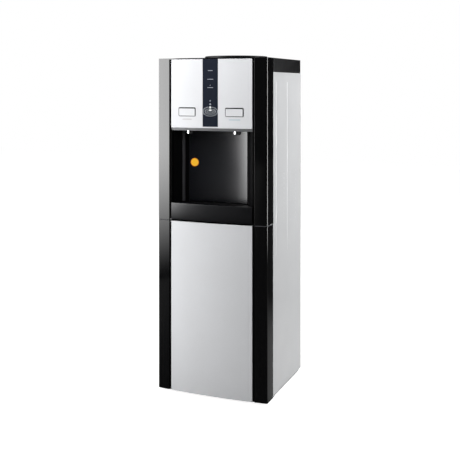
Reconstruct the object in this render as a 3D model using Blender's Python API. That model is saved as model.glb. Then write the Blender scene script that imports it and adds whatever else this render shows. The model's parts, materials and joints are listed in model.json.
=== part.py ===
"""A free-standing water dispenser, fed by a bottle on top, with a hot and a cold push button over a
shallow dispensing recess and a storage cabinet behind the lower front.

Metres, +Z up, the front faces -Y. The origin is on the floor, in the middle of the outer box.
Heights are measured from the floor. Setbacks are measured back from the plane of the two front corners,
and the front bows forward of that plane.
"""
import math

import bmesh
import bpy
from mathutils import Matrix, Vector

mm = 0.001
degree = math.pi / 180

# Overall body
body_width = 334 * mm
corner_to_rear = 305.6 * mm
front_bow = 8.55 * mm
fascia_bottom = 8 * mm
fascia_top = 958 * mm
upper_height = 464 * mm
split_height = fascia_top - upper_height
half_width = body_width / 2
corner_y = (front_bow - corner_to_rear) / 2
rear_y = corner_y + corner_to_rear

# Gaps, walls and counts
gap = 0.3 * mm
running_gap = 0.5 * mm
overrun = 2 * mm
plastic_wall = 3 * mm
sheet = 1.5 * mm
deck_sheet = 2 * mm
tank_sheet = 1.5 * mm
weld_distance = 0.002 * mm
bow_steps = 14
short_bow_steps = 6
round_steps = 40
small_round_steps = 16
bore_steps = 12

# Front columns and the groove between each column and the middle
corner_radius = 4 * mm
corner_steps = 4
column_width = 36.3 * mm
groove_width = 6.4 * mm
ledge_depth = 3.3 * mm
ledge_wall = 5 * mm
ledge_overlap = 3 * mm
ledge_slope = 0.8 * mm
column_inner_x = half_width - column_width
opening_half = column_inner_x - groove_width
upper_return = 50.2 * mm

# Hinges of the lower door
hinge_plate = 1.6 * mm
hinge_inset = 6 * mm
hinge_pin_radius = 2 * mm
hinge_pin_length = 12 * mm
hinge_width = 14.2 * mm
hinge_reach = 32 * mm
hinge_front = 37.5 * mm
hinge_boss_width = 7 * mm
hinge_boss_height = 9 * mm
hinge_boss_front = 3.5 * mm
hinge_boss_back = 3.4 * mm
door_return = 48 * mm
door_bottom = fascia_bottom - gap + running_gap
door_top = split_height - hinge_plate / 2 - running_gap
upper_bottom = split_height + hinge_plate / 2 + gap
deck_top = split_height - hinge_plate / 2 - gap
hinge_x = half_width - hinge_inset
hinge_y = corner_y + door_return - hinge_inset

# Silver panels: shallow pans with turned-back edges
panel_skin = 2.2 * mm
panel_flange = 9 * mm
panel_flange_wall = 2 * mm
panel_half = opening_half - gap
control_height = 197.5 * mm
top_wall = 3 * mm
control_top = fascia_top - top_wall - gap
control_bottom = fascia_top - control_height

# Display strip let into the control panel
strip_half = 23.5 * mm
strip_margin = 3.5 * mm
strip_sink = 0.15 * mm
strip_pocket = 1.4 * mm
strip_thickness = 1.1 * mm
strip_bottom = control_bottom + strip_margin

# Trim under the control panel
trim_drop = 8.2 * mm
trim_lean = 4.5 * mm
trim_thickness = 2.5 * mm
trim_bottom = control_bottom - trim_drop

# Push buttons
button_offset = 1.25 * mm
button_side_margin = 24 * mm
button_height = 23 * mm
button_rise = 33.5 * mm
button_radius = 2.5 * mm
button_clearance = 1.4 * mm
button_proud = 0.6 * mm
button_flange = 2.4 * mm
button_flange_front = -2.8 * mm
button_flange_back = -1.0 * mm
button_boss_half = 5 * mm
button_boss_height = 7.5 * mm
button_boss_drop = 0.5 * mm
button_boss_back = 3.0 * mm
button_travel = 4 * mm
button_x = (strip_half + panel_half) / 2 - button_offset
button_width = panel_half - strip_half - 2 * button_side_margin
button_bottom = control_bottom + button_rise
button_centre = button_bottom + button_height / 2
button_top = button_bottom + button_height

# Tap levers, in the plane across their pins
lever_pin_setback = 8 * mm
lever_pin_rise = 4 * mm
lever_pin_radius = 1.5 * mm
lever_bore = 1.8 * mm
lever_half = 4.5 * mm
lever_nub_gap = 0.4 * mm
lever_push_arm = 16 * mm
lever_nub_half = 2 * mm
lever_neck_rise = 11.5 * mm
lever_neck_front = 2.2 * mm
lever_arm_wall = 3.1 * mm
lever_hub = 4 * mm
lever_lift = 3.4 * mm
lever_finger_reach = 14.5 * mm
lever_finger_start = 5.8 * mm
lever_finger_wall = 3.2 * mm
lever_pin_height = button_bottom + lever_pin_rise

# Tap bodies, valve stems and springs
tap_setback = 21 * mm
tap_radius = 13 * mm
tap_drop = 8 * mm
tap_ear_half = 5 * mm
tap_ear_wall = 2.5 * mm
tap_ear_front = 4 * mm
tap_ear_back = 12.5 * mm
tap_ear_root = 6 * mm
tap_ear_round = 4 * mm
tap_inlet_drop = 15 * mm
tap_inlet_radius = 5 * mm
tap_inlet_length = 3 * mm
stem_radius = 3 * mm
stem_depth = 24 * mm
stem_clearance = 0.4 * mm
stem_head_radius = 6.5 * mm
stem_head_height = 2 * mm
stem_run = 6 * mm
spring_radius = 5.2 * mm
spring_wire = 0.9 * mm
spring_turns = 4
spring_points_per_turn = 9
stem_top = lever_pin_height + lever_lift - lever_nub_gap
tap_top = lever_pin_height - tap_drop
tap_ear_low = tap_top - tap_ear_root
tap_inlet_height = tap_top - tap_inlet_drop
stem_bottom = tap_top - stem_depth
stem_bore_floor = stem_bottom - stem_run

# Recess: a shallow niche with slanted sides and a hollowed back
recess_front = 7.8 * mm
recess_wall = 2.2 * mm
recess_drop = 8.5 * mm
recess_side_lean = 33.8 * mm
recess_edge_depth = 46 * mm
recess_middle_depth = 58 * mm
recess_side_start = 3.5 * mm
recess_steps = 12
splash_wall = 1.8 * mm
splash_rise = 50.9 * mm
recess_ceiling_wall = 2.5 * mm
recess_floor_wall = 2.2 * mm
recess_inner_half = opening_half - gap - recess_wall
recess_back_half = opening_half - recess_side_lean
recess_floor = upper_bottom + recess_floor_wall
recess_top = control_bottom - recess_drop
splash_bottom = upper_bottom + splash_rise
recess_ceiling_top = recess_top + recess_ceiling_wall
liner_extra = 1.5 * mm

# Plain disc on the splash panel
disc_inset = 16.2 * mm
disc_height_share = 0.543
disc_radius = 12 * mm
disc_thickness = 0.6 * mm
disc_lift = 0.55 * mm
disc_x = disc_inset - recess_back_half
disc_height = splash_bottom + disc_height_share * (recess_top - splash_bottom)

# Nozzles
nozzle_setback = 16 * mm
nozzle_radius = 10.5 * mm
nozzle_length = 10 * mm
nozzle_neck = 6 * mm
nozzle_bore = 4 * mm
nozzle_taper = 1.5 * mm
nozzle_lip = 2 * mm
nozzle_bottom = recess_top - nozzle_length

# Drip tray and grille
tray_side_gap = 0.6 * mm
tray_wall = 2 * mm
tray_height = 49.9 * mm
tray_rim_drop = 5 * mm
tray_front_wall = 3 * mm
tray_front_round = 2 * mm
tray_round_share = 0.3
grille_thickness = 2 * mm
grille_slots = 19
grille_pitch = 9 * mm
grille_slot_width = 5 * mm
grille_slot_front = 4 * mm
grille_slot_back = 38 * mm
tray_travel = 60 * mm
tray_low = recess_floor + gap
tray_top = upper_bottom + tray_height
tray_box_top = tray_top - tray_rim_drop
tray_front_half = panel_half - gap

# Side and rear panels
side_start = upper_return + gap
side_bottom = 13 * mm
cover_height = 39.7 * mm
cover_bottom = fascia_top - cover_height
side_top = cover_bottom - gap
bead_height = 0.8 * mm
bead_width = 7 * mm
bead_inset = 28.5 * mm
bead_rear_inset = 128.6 * mm
bead_below_split = 94 * mm
bead_below_cover = 27 * mm
bead_root = 0.5 * mm
side_outer = half_width - bead_height
side_inner = side_outer - sheet
side_rear_flange = 14 * mm
louvre_rows = 11
louvre_below_split = 11 * mm
louvre_pitch = 14.3 * mm
louvre_height = 3 * mm
louvre_length = 54 * mm
louvre_inset = 44.5 * mm
louvre_rear_inset = 102.6 * mm
rear_recess = 15.6 * mm
bead_setbacks = (side_start + bead_inset, corner_to_rear - bead_rear_inset)
bead_low = split_height - bead_below_split
bead_high = side_top - bead_below_cover
louvre_low = split_height - louvre_below_split
louvre_setbacks = (side_start + louvre_inset, corner_to_rear - louvre_rear_inset)
rear_setback = corner_to_rear - rear_recess
rear_front_y = corner_y + rear_setback
rear_back_y = rear_front_y + sheet
inner_half = side_inner - gap

# Base pan, decks and feet
deck_start = 52.8 * mm
deck_flange_start = 56 * mm
pan_flange = 20 * mm
deck_flange = 16 * mm
shelf_drop = 37 * mm
foot_radius = 16 * mm
foot_taper = 3 * mm
foot_inset = 26.4 * mm
foot_front_setback = 82 * mm
foot_rear_inset = 18 * mm
deck_start_y = corner_y + deck_start
deck_end_y = rear_front_y - gap
foot_x = inner_half - foot_inset
foot_rear_setback = rear_setback - foot_rear_inset
shelf_height = tap_inlet_height - shelf_drop
bay_height = shelf_height - deck_sheet - deck_top

# Storage liner behind the door
store_side_gap = 14.4 * mm
store_rear_gap = 2 * mm
store_head_gap = 2.9 * mm
store_wall = 2.5 * mm
store_flange = 2.2 * mm
store_lift = 0.5 * mm
store_floor = fascia_bottom + deck_sheet + gap
store_half = inner_half - store_side_gap
store_rear = rear_setback - store_rear_gap
store_top = deck_top - deck_sheet - store_head_gap

# Door liner, finger notch and catch
door_liner_wall = 2 * mm
door_liner_back = 0.3 * mm
finger_notch_drop = 94 * mm
finger_notch_height = 100 * mm
finger_notch_depth = 14 * mm
finger_notch_slope = 10 * mm
magnet_width = 20 * mm
magnet_height = 30 * mm
magnet_drop = 159 * mm
magnet_inset = 8 * mm
magnet_proud = 3.5 * mm
finger_notch_high = split_height - finger_notch_drop
finger_notch_low = finger_notch_high - finger_notch_height
magnet_low = split_height - magnet_drop

# Top cover, bottle seat and probe
cover_radius = 8 * mm
seat_rear_inset = 31 * mm
seat_flange_radius = 95 * mm
seat_rim_height = 10 * mm
seat_body_radius = 83 * mm
seat_wall = 2.5 * mm
seat_depth = 37 * mm
seat_floor_rise = 11 * mm
seat_lead = 7 * mm
seat_taper = 3 * mm
seat_edge = 2 * mm
spout_radius = 18 * mm
spout_shoulder = 6 * mm
spout_dip = 12 * mm
probe_radius = 8 * mm
probe_bore = 5 * mm
probe_foot_radius = 23.5 * mm
probe_foot_wall = 2 * mm
probe_drop = 1 * mm
probe_tip = 8 * mm
probe_hole_radius = 3.5 * mm
probe_hole_circle = 14 * mm
probe_holes = 4
probe_top = fascia_top - probe_drop
seat_floor = fascia_top - seat_depth

# Cold tank, lid and insulation
tank_rear_gap = 72 * mm
cold_radius = 58 * mm
cold_lift = 7 * mm
cold_head_room = 53 * mm
lid_overhang = 2 * mm
lid_thickness = 2.7 * mm
lid_hole = 24 * mm
foam_wall = 15.4 * mm
stub_radius = 5 * mm
stub_bore = 3.2 * mm
stub_clearance = 0.5 * mm
cold_stub_direction = Vector((0.6, -0.8, 0))
cold_stub_reach = 26 * mm
feed_x = -35 * mm
feed_stub_length = 17 * mm
shelf_lead = 60 * mm
tank_setback = rear_setback - cold_radius - tank_rear_gap
tank_y = corner_y + tank_setback
seat_y = tank_y + cold_radius - seat_rear_inset
shelf_start = tank_setback - shelf_lead
cold_bottom = shelf_height + cold_lift
cold_top = fascia_top - cold_head_room
spout_bottom = cold_top - spout_dip
foam_radius = cold_radius + gap + foam_wall

# Cooling pack behind the cold tank
block_half = 30 * mm
block_height = 60 * mm
block_lift = 25 * mm
block_wall = 12.2 * mm
block_clearance = 1 * mm
chip_half = 20 * mm
chip_thickness = 3.8 * mm
sink_half = 45 * mm
sink_base = 5 * mm
sink_depth = 20.4 * mm
sink_fins = 11
sink_fin_wall = 2 * mm
fan_half = 40 * mm
fan_depth = 22 * mm
fan_bore = 37 * mm
fan_hub = 12 * mm
fan_spoke_width = 5 * mm
fan_spoke_wall = 2.5 * mm
fan_spoke_inset = 1.2 * mm
fan_blades = 7
fan_blade_wall = 1.5 * mm
fan_blade_chord = 15 * mm
fan_blade_tip = 35 * mm
fan_blade_pitch = 38 * degree
fan_front_gap = 3 * mm
block_low = cold_bottom + block_lift
block_back = tank_setback + cold_radius + block_wall
cooling_height = block_low + block_height / 2
sink_front = block_back + chip_thickness + gap
sink_back = sink_front + sink_base + sink_depth
fan_front = sink_back + gap
fan_back = fan_front + fan_depth

# Hot tank, heater and their stand
hot_x = -60 * mm
hot_radius = 50 * mm
hot_bottom_share = 0.1115
hot_top_share = 0.605
hot_leg_half = 4 * mm
hot_leg_circle = 42 * mm
hot_legs = 3
hot_stub_length = 15 * mm
hot_outlet_offset = 35 * mm
drain_height_share = 0.161
heater_low_share = 0.276
heater_height_share = 0.1235
heater_wall = 3.7 * mm
heater_split = 6 * mm
heater_terminal = 8 * mm
hose_radius = 5 * mm
hose_steps = 26
hose_lead = 7 * mm
hose_clearance = 3.4 * mm
drain_hole = 6 * mm
drain_reach = 5 * mm
drain_cap_wall = 3 * mm
drain_cap_length = 9 * mm
hot_bottom = deck_top + hot_bottom_share * bay_height
hot_top = deck_top + hot_top_share * bay_height
hot_outlet_setback = tank_setback - hot_outlet_offset
drain_height = deck_top + drain_height_share * bay_height
heater_low = deck_top + heater_low_share * bay_height
heater_height = heater_height_share * bay_height

# Power supply
board_side_gap = 17.4 * mm
board_rear_gap = 90 * mm
board_half_width = 45 * mm
board_half_depth = 60 * mm
board_wall = 1.6 * mm
board_lift = 8 * mm
board_post = 3 * mm
board_post_inset = 6 * mm
transformer_half = 24 * mm
transformer_height = 42 * mm
capacitor_radius = 8 * mm
capacitor_height = 26 * mm
board_x = inner_half - board_side_gap - board_half_width
board_setback = rear_setback - board_rear_gap

# Rear switches, cord gland and vents
switch_inset = 79.4 * mm
switch_height_share = 0.4406
switch_spacing = 18 * mm
switch_well_half = 7.4 * mm
switch_well_rise = 12.4 * mm
switch_wall = 2.2 * mm
switch_depth = 20 * mm
switch_flange = 3 * mm
switch_flange_wall = 1.8 * mm
switch_pivot_inset = 4 * mm
switch_pin_radius = 1.3 * mm
rocker_bore = 1.6 * mm
rocker_half = 7 * mm
rocker_reach = 9.5 * mm
rocker_rise = 10.5 * mm
rocker_dip = 1.5 * mm
rocker_root = 5 * mm
rocker_tilt = 9 * degree
gland_inset = 42.4 * mm
gland_height_share = 0.1937
gland_radius = 8 * mm
gland_flange = 10.5 * mm
gland_bore = 4 * mm
gland_inside = 5 * mm
gland_outside = 3 * mm
vent_slots = 8
vent_pitch = 9 * mm
vent_height = 4 * mm
vent_half = 36 * mm
low_vent_inset = 69.4 * mm
low_vent_height_share = 0.2143
rear_cut_gap = 0.4 * mm
switch_x = inner_half - switch_inset
switch_height = deck_top + switch_height_share * bay_height
switch_pivot_y = rear_front_y - switch_pivot_inset
gland_x = inner_half - gland_inset
gland_height = deck_top + gland_height_share * bay_height
low_vent_x = low_vent_inset - inner_half
low_vent_centre = deck_top + low_vent_height_share * bay_height

# Colours are linear RGB; roughness and metallic follow the photographed finishes
finishes = {
    "gloss_black": ((0.008, 0.008, 0.009), 0.12, 0.0),
    "satin_black": ((0.014, 0.014, 0.015), 0.45, 0.0),
    "silver_panel": ((0.78, 0.78, 0.79), 0.32, 0.25),
    "trim_grey": ((0.30, 0.30, 0.31), 0.4, 0.1),
    "pale_steel": ((0.66, 0.66, 0.66), 0.42, 0.0),
    "zinc_sheet": ((0.45, 0.46, 0.47), 0.45, 0.9),
    "chrome": ((0.75, 0.75, 0.76), 0.08, 1.0),
    "stainless": ((0.55, 0.55, 0.56), 0.25, 1.0),
    "white_plastic": ((0.80, 0.80, 0.79), 0.4, 0.0),
    "signal_yellow": ((0.85, 0.42, 0.02), 0.5, 0.0),
    "foam": ((0.75, 0.70, 0.55), 0.9, 0.0),
    "aluminium": ((0.60, 0.61, 0.62), 0.35, 1.0),
    "mica_heater": ((0.42, 0.38, 0.30), 0.6, 0.3),
    "silicone": ((0.70, 0.72, 0.72), 0.5, 0.0),
    "rubber": ((0.02, 0.02, 0.02), 0.8, 0.0),
    "board_green": ((0.02, 0.14, 0.06), 0.5, 0.0),
    "switch_red": ((0.55, 0.02, 0.02), 0.35, 0.0),
    "switch_green": ((0.02, 0.30, 0.08), 0.35, 0.0),
    "spring_steel": ((0.40, 0.40, 0.42), 0.3, 1.0),
}


def clear_scene():
    """Remove what a new file holds."""
    for leftover in list(bpy.data.objects):
        bpy.data.objects.remove(leftover, do_unlink=True)


def material(name):
    """Return the finish of that name, made once."""
    found = bpy.data.materials.get(name)
    if found:
        return found
    colour, roughness, metallic = finishes[name]
    made = bpy.data.materials.new(name)
    made.use_nodes = True
    shader = made.node_tree.nodes["Principled BSDF"]
    shader.inputs["Base Color"].default_value = (*colour, 1)
    shader.inputs["Roughness"].default_value = roughness
    shader.inputs["Metallic"].default_value = metallic
    made.diffuse_color = (*colour, 1)
    return made


def from_bmesh(name, shape):
    """Turn a bmesh into a linked object with its faces pointing out."""
    bmesh.ops.recalc_face_normals(shape, faces=shape.faces[:])
    mesh = bpy.data.meshes.new(name)
    shape.to_mesh(mesh)
    shape.free()
    made = bpy.data.objects.new(name, mesh)
    bpy.context.collection.objects.link(made)
    return made


def spread(low, high, steps):
    """Evenly spaced values from low to high, both included."""
    return [low + (high - low) * step / steps for step in range(steps + 1)]


def front_y(x):
    """The bowed front surface: furthest forward in the middle, on the corner plane at the sides."""
    return corner_y - front_bow * (1 - (x / half_width) ** 2)


def recess_back_y(x):
    """The hollowed back of the recess: deepest in the middle."""
    hollow = recess_middle_depth - recess_edge_depth
    return corner_y + recess_edge_depth + hollow * (1 - (x / recess_back_half) ** 2)


def place(axis, u, v, along):
    """A point from two outline coordinates and a distance along the axis."""
    return {"X": (along, u, v), "Y": (u, along, v), "Z": (u, v, along)}[axis]


def prism(name, outline, low, high, axis="Z"):
    """Extrude a closed outline along an axis."""
    shape = bmesh.new()
    start = [shape.verts.new(place(axis, u, v, low)) for u, v in outline]
    end = [shape.verts.new(place(axis, u, v, high)) for u, v in outline]
    shape.faces.new(start)
    shape.faces.new(end)
    for side in range(len(outline)):
        shape.faces.new((start[side - 1], start[side], end[side], end[side - 1]))
    return from_bmesh(name, shape)


def box(name, x_pair, y_pair, z_pair):
    """A block between two corners."""
    outline = [(x, y_pair[end]) for x, end in
               ((x_pair[0], 0), (x_pair[1], 0), (x_pair[1], 1), (x_pair[0], 1))]
    return prism(name, outline, *z_pair)


def rectangle(u_low, u_high, v_low, v_high, radius=0, steps=3):
    """The outline of a rectangle with round corners."""
    if not radius:
        return [(u_low, v_low), (u_high, v_low), (u_high, v_high), (u_low, v_high)]
    outline = []
    centres = ((u_high - radius, v_high - radius), (u_low + radius, v_high - radius),
               (u_low + radius, v_low + radius), (u_high - radius, v_low + radius))
    for quarter, (u, v) in enumerate(centres):
        for step in range(steps + 1):
            turn = (quarter + step / steps) * math.pi / 2
            outline.append((u + radius * math.cos(turn), v + radius * math.sin(turn)))
    return outline


def turned(name, profile, centre, axis="Z", segments=round_steps):
    """Turn a profile of (radius, distance along the axis) points about the axis through a centre.
    A profile that doesn't end on the axis closes on itself."""
    shape = bmesh.new()
    rings = []
    for radius, along in profile:
        if radius <= 0:
            rings.append([shape.verts.new(place(axis, *centre, along))])
            continue
        ring = []
        for step in range(segments):
            turn = 2 * math.pi * step / segments
            u = centre[0] + radius * math.cos(turn)
            v = centre[1] + radius * math.sin(turn)
            ring.append(shape.verts.new(place(axis, u, v, along)))
        rings.append(ring)
    pairs = list(zip(rings, rings[1:]))
    if len(rings[0]) > 1:
        pairs.append((rings[-1], rings[0]))
    for near, far in pairs:
        for step in range(segments):
            corners = (near[step % len(near)], near[(step + 1) % len(near)],
                       far[(step + 1) % len(far)], far[step % len(far)])
            distinct = list(dict.fromkeys(corners))
            shape.faces.new(distinct)
    return from_bmesh(name, shape)


def cylinder(name, radius, centre, low, high, axis="Z", segments=small_round_steps):
    """A plain round bar along an axis."""
    profile = [(0, low), (radius, low), (radius, high), (0, high)]
    return turned(name, profile, centre, axis, segments)


def rod(name, start, end, radius, segments=small_round_steps):
    """A round bar between two points."""
    start, end = Vector(start), Vector(end)
    length = (end - start).length
    made = cylinder(name, radius, (0, 0), 0, length, "Z", segments)
    turn = Vector((0, 0, 1)).rotation_difference(end - start).to_matrix().to_4x4()
    made.data.transform(Matrix.Translation(start) @ turn)
    return made


def bowed_bar(name, x_low, x_high, section, steps=bow_steps):
    """Carry a section of (setback, height) points along the bowed front."""
    shape = bmesh.new()
    rings = [[shape.verts.new((x, front_y(x) + setback, height)) for setback, height in section]
             for x in spread(x_low, x_high, steps)]
    shape.faces.new(rings[0])
    shape.faces.new(rings[-1])
    for near, far in zip(rings, rings[1:]):
        for side in range(len(section)):
            shape.faces.new((near[side - 1], near[side], far[side], far[side - 1]))
    return from_bmesh(name, shape)


def boolean(target, tools, operation):
    """Cut the tools from the target or join them to it, and keep only the target."""
    for tool in tools:
        step = target.modifiers.new(tool.name, "BOOLEAN")
        step.operation = operation
        step.solver = "EXACT"
        step.object = tool
    bpy.context.view_layer.update()
    graph = bpy.context.evaluated_depsgraph_get()
    whole = bpy.data.meshes.new_from_object(target.evaluated_get(graph))
    target.modifiers.clear()
    worn = target.data
    target.data = whole
    bpy.data.meshes.remove(worn)
    for tool in tools:
        bpy.data.objects.remove(tool, do_unlink=True)
    shape = bmesh.new()
    shape.from_mesh(target.data)
    bmesh.ops.remove_doubles(shape, verts=shape.verts[:], dist=weld_distance)
    bmesh.ops.dissolve_degenerate(shape, dist=weld_distance, edges=shape.edges[:])
    shape.to_mesh(target.data)
    shape.free()
    return target


def cut(target, *tools):
    """Take the tools away from the target."""
    return boolean(target, tools, "DIFFERENCE")


def join(target, *tools):
    """Make the target and the tools one body."""
    return boolean(target, tools, "UNION")


def finish(piece, finish_name, smooth_angle=35 * degree):
    """Give a piece its material and its soft shading."""
    piece.data.materials.clear()
    piece.data.materials.append(material(finish_name))
    piece.data.shade_smooth()
    piece.data.set_sharp_from_angle(angle=smooth_angle)
    return piece


def mirrored_outline(half):
    """Complete a plan outline from its right half, listed from the front middle to the back middle."""
    left = [(-x, y) for x, y in reversed(half) if x > 0]
    return half + left


def fascia_plan(return_depth):
    """The outer plan of the fascia: bowed front, round corners, straight returns."""
    turn_x = half_width - corner_radius
    half = [(x, front_y(x)) for x in spread(0, turn_x, bow_steps // 2)]
    for step in range(1, corner_steps + 1):
        turn = math.pi / 2 * step / corner_steps
        half.append((turn_x + corner_radius * math.sin(turn),
                     front_y(turn_x) + corner_radius * (1 - math.cos(turn))))
    half.append((half_width, corner_y + return_depth))
    half.append((0, corner_y + return_depth))
    return mirrored_outline(half)


def inside_half(return_depth):
    """Right half of the hollow behind a column, from the ledge round to the open back."""
    inner_x = half_width - plastic_wall
    slope_x = column_inner_x + plastic_wall
    back = ledge_depth + ledge_wall
    half = [(slope_x, front_y(slope_x) + back),
            (slope_x + ledge_slope, front_y(slope_x) + plastic_wall)]
    half += [(x, front_y(x) + plastic_wall) for x in spread(slope_x + 2 * ledge_slope, inner_x, 3)]
    half.append((inner_x, corner_y + return_depth + overrun))
    half.append((0, corner_y + return_depth + overrun))
    return half


def groove_cutter(name, low, high, depth):
    """The middle of the fascia and the groove beside each column, cut back to a depth."""
    ahead = corner_y - front_bow - overrun
    half = [(0, ahead), (column_inner_x, ahead), (column_inner_x, front_y(column_inner_x) + ledge_depth),
            (opening_half, front_y(opening_half) + ledge_depth)]
    half += [(x, front_y(x) + depth) for x in reversed(spread(0, opening_half, bow_steps // 2))]
    return prism(name, mirrored_outline(half), low, high)


def hollow_cutter(name, low, high, return_depth):
    """The hollow inside the fascia, open at the back."""
    back = ledge_depth + ledge_wall
    half = [(x, front_y(x) + back) for x in spread(0, opening_half, bow_steps // 2)]
    half += inside_half(return_depth)
    return prism(name, mirrored_outline(half), low, high)


def make_upper_frame():
    """Two glossy columns with side returns, joined by the top wall."""
    frame = prism("upper_front_frame", fascia_plan(upper_return), upper_bottom, fascia_top)
    low, high = upper_bottom - overrun, fascia_top - top_wall
    cut(frame, groove_cutter("groove", low, high, panel_flange + gap),
        hollow_cutter("hollow", low, high, upper_return))
    return finish(frame, "gloss_black")


def silver_pan(name, low, high):
    """A bowed panel whose edges turn back all round."""
    pan = bowed_bar(name, -panel_half, panel_half,
                    [(0, low), (panel_flange, low), (panel_flange, high), (0, high)])
    inside = panel_half - panel_flange_wall
    back = panel_flange + overrun
    hollow = bowed_bar("pan_hollow", -inside, inside,
                       [(panel_skin, low + panel_flange_wall), (back, low + panel_flange_wall),
                        (back, high - panel_flange_wall), (panel_skin, high - panel_flange_wall)])
    return cut(pan, hollow)


def button_outline(side, clearance):
    """The round-cornered outline of a button's face, seen from the front."""
    return rectangle(side * button_x - button_width / 2 - clearance,
                     side * button_x + button_width / 2 + clearance,
                     button_bottom - clearance, button_top + clearance, button_radius + clearance)


def make_control_panel():
    """The silver panel with two button windows and a pocket for the display strip."""
    panel = silver_pan("control_panel", control_bottom, control_top)
    ahead, behind = corner_y - front_bow - overrun, corner_y + panel_flange
    windows = [prism("window", button_outline(side, button_clearance), ahead, behind, "Y")
               for side in (-1, 1)]
    pocket = bowed_bar("pocket", -strip_half, strip_half,
                       [(-overrun, strip_bottom), (strip_pocket, strip_bottom),
                        (strip_pocket, control_top + overrun), (-overrun, control_top + overrun)],
                       short_bow_steps)
    return finish(cut(panel, *windows, pocket), "silver_panel")


def make_display_strip():
    """The glossy strip that lies flush in the control panel."""
    low = strip_bottom + gap
    inside = strip_half - gap
    strip = bowed_bar("display_strip", -inside, inside,
                      [(strip_sink, low), (strip_thickness, low), (strip_thickness, control_top),
                       (strip_sink, control_top)],
                      short_bow_steps)
    return finish(strip, "gloss_black")


def make_head_trim():
    """The grey strip that slopes back under the control panel."""
    high = control_bottom - gap
    section = [(gap, high), (gap + trim_lean, trim_bottom), (gap + trim_lean + trim_thickness, trim_bottom),
               (gap + trim_thickness, high)]
    return finish(bowed_bar("head_trim", -panel_half, panel_half, section), "trim_grey")


def make_button(name, side):
    """A push button: its bowed face, a flange that stops it behind the panel, and a pushing boss."""
    outline = button_outline(side, 0)
    back = corner_y + button_flange_back
    shape = bmesh.new()
    face = [shape.verts.new((x, front_y(x) - button_proud, z)) for x, z in outline]
    rear = [shape.verts.new((x, corner_y + (button_flange_front + button_flange_back) / 2, z))
            for x, z in outline]
    shape.faces.new(face)
    shape.faces.new(rear)
    for edge in range(len(outline)):
        shape.faces.new((face[edge - 1], face[edge], rear[edge], rear[edge - 1]))
    button = from_bmesh(name, shape)
    flange = prism("flange", button_outline(side, button_flange),
                   corner_y + button_flange_front, back, "Y")
    boss_top = button_top - button_boss_drop
    boss = box("boss", (side * button_x - button_boss_half, side * button_x + button_boss_half),
               (back - panel_flange_wall / 2, corner_y + button_boss_back),
               (boss_top - button_boss_height, boss_top))
    return finish(join(button, flange, boss), "silver_panel")


def make_lever(name, side):
    """A bell crank: the button pushes its upright arm and its finger presses the valve stem down."""
    y, z = corner_y + lever_pin_setback, lever_pin_height
    nub_y = corner_y + button_boss_back + lever_nub_gap
    nub_z = z + lever_push_arm
    finger_z = z + lever_lift
    outline = [
        (nub_y, nub_z - lever_nub_half), (nub_y, nub_z + lever_nub_half),
        (nub_y + lever_arm_wall, nub_z + lever_nub_half),
        (y + lever_hub, finger_z + lever_finger_wall),
        (y + lever_finger_reach, finger_z + lever_finger_wall), (y + lever_finger_reach, finger_z),
        (y + lever_finger_start, finger_z), (y + lever_hub, z),
        (y + lever_hub / 2, z - lever_hub), (y - lever_hub / 2, z - lever_hub), (y - lever_hub, z),
        (y - lever_neck_front, z + lever_neck_rise),
    ]
    lever = prism(name, outline, side * button_x - lever_half, side * button_x + lever_half, "X")
    bore = cylinder("bore", lever_bore, (y, z), side * button_x - lever_half - overrun,
                    side * button_x + lever_half + overrun, "X")
    return finish(cut(lever, bore), "white_plastic")


def make_tap_body(name, side):
    """The valve chamber over the recess, with two ears that hold the lever's pin and a rear inlet."""
    x, y = side * button_x, corner_y + tap_setback
    body = cylinder(name, tap_radius, (x, y), recess_ceiling_top + gap, tap_top, "Z", round_steps // 2)
    pin_y = corner_y + lever_pin_setback
    ears = []
    for ear in (-1, 1):
        near = x + ear * (tap_ear_half)
        far = x + ear * (tap_ear_half + tap_ear_wall)
        top = lever_pin_height + tap_ear_round
        outline = [(corner_y + tap_ear_front, tap_ear_low), (corner_y + tap_ear_back, tap_ear_low),
                   (corner_y + tap_ear_back, top - tap_ear_round), (pin_y + tap_ear_round / 2, top),
                   (pin_y - tap_ear_round / 2, top), (corner_y + tap_ear_front, top - tap_ear_round)]
        ears.append(prism("ear", outline, min(near, far), max(near, far), "X"))
    pin_half = tap_ear_half + tap_ear_wall / 2
    pin = cylinder("pin", lever_pin_radius, (pin_y, lever_pin_height), x - pin_half, x + pin_half, "X")
    inlet = cylinder("inlet", tap_inlet_radius, (x, tap_inlet_height), y,
                     y + tap_radius + tap_inlet_length, "Y")
    join(body, *ears, pin, inlet)
    bore = cylinder("bore", stem_radius + stem_clearance, (x, y), stem_bore_floor, tap_top + overrun)
    return finish(cut(body, bore), "white_plastic")


def make_valve_stem(name, side):
    """The stem that the lever presses down, with a flat head."""
    head_low = stem_top - stem_head_height
    profile = [(0, stem_bottom), (stem_radius, stem_bottom), (stem_radius, head_low),
               (stem_head_radius, head_low), (stem_head_radius, stem_top), (0, stem_top)]
    centre = (side * button_x, corner_y + tap_setback)
    return finish(turned(name, profile, centre, segments=small_round_steps), "white_plastic")


def make_valve_spring(name, side):
    """The helical spring between the chamber's top and the stem's head."""
    low = tap_top + gap + spring_wire / 2
    high = stem_top - stem_head_height - gap - spring_wire / 2
    points = []
    for step in range(spring_turns * spring_points_per_turn + 1):
        turn = 2 * math.pi * step / spring_points_per_turn
        points.append((side * button_x + spring_radius * math.cos(turn),
                       corner_y + tap_setback + spring_radius * math.sin(turn),
                       low + (high - low) * step / (spring_turns * spring_points_per_turn)))
    print(name, "least gap between turns:", (high - low) / spring_turns - spring_wire)
    return tube(name, points, spring_wire / 2, 1, "spring_steel")


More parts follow.
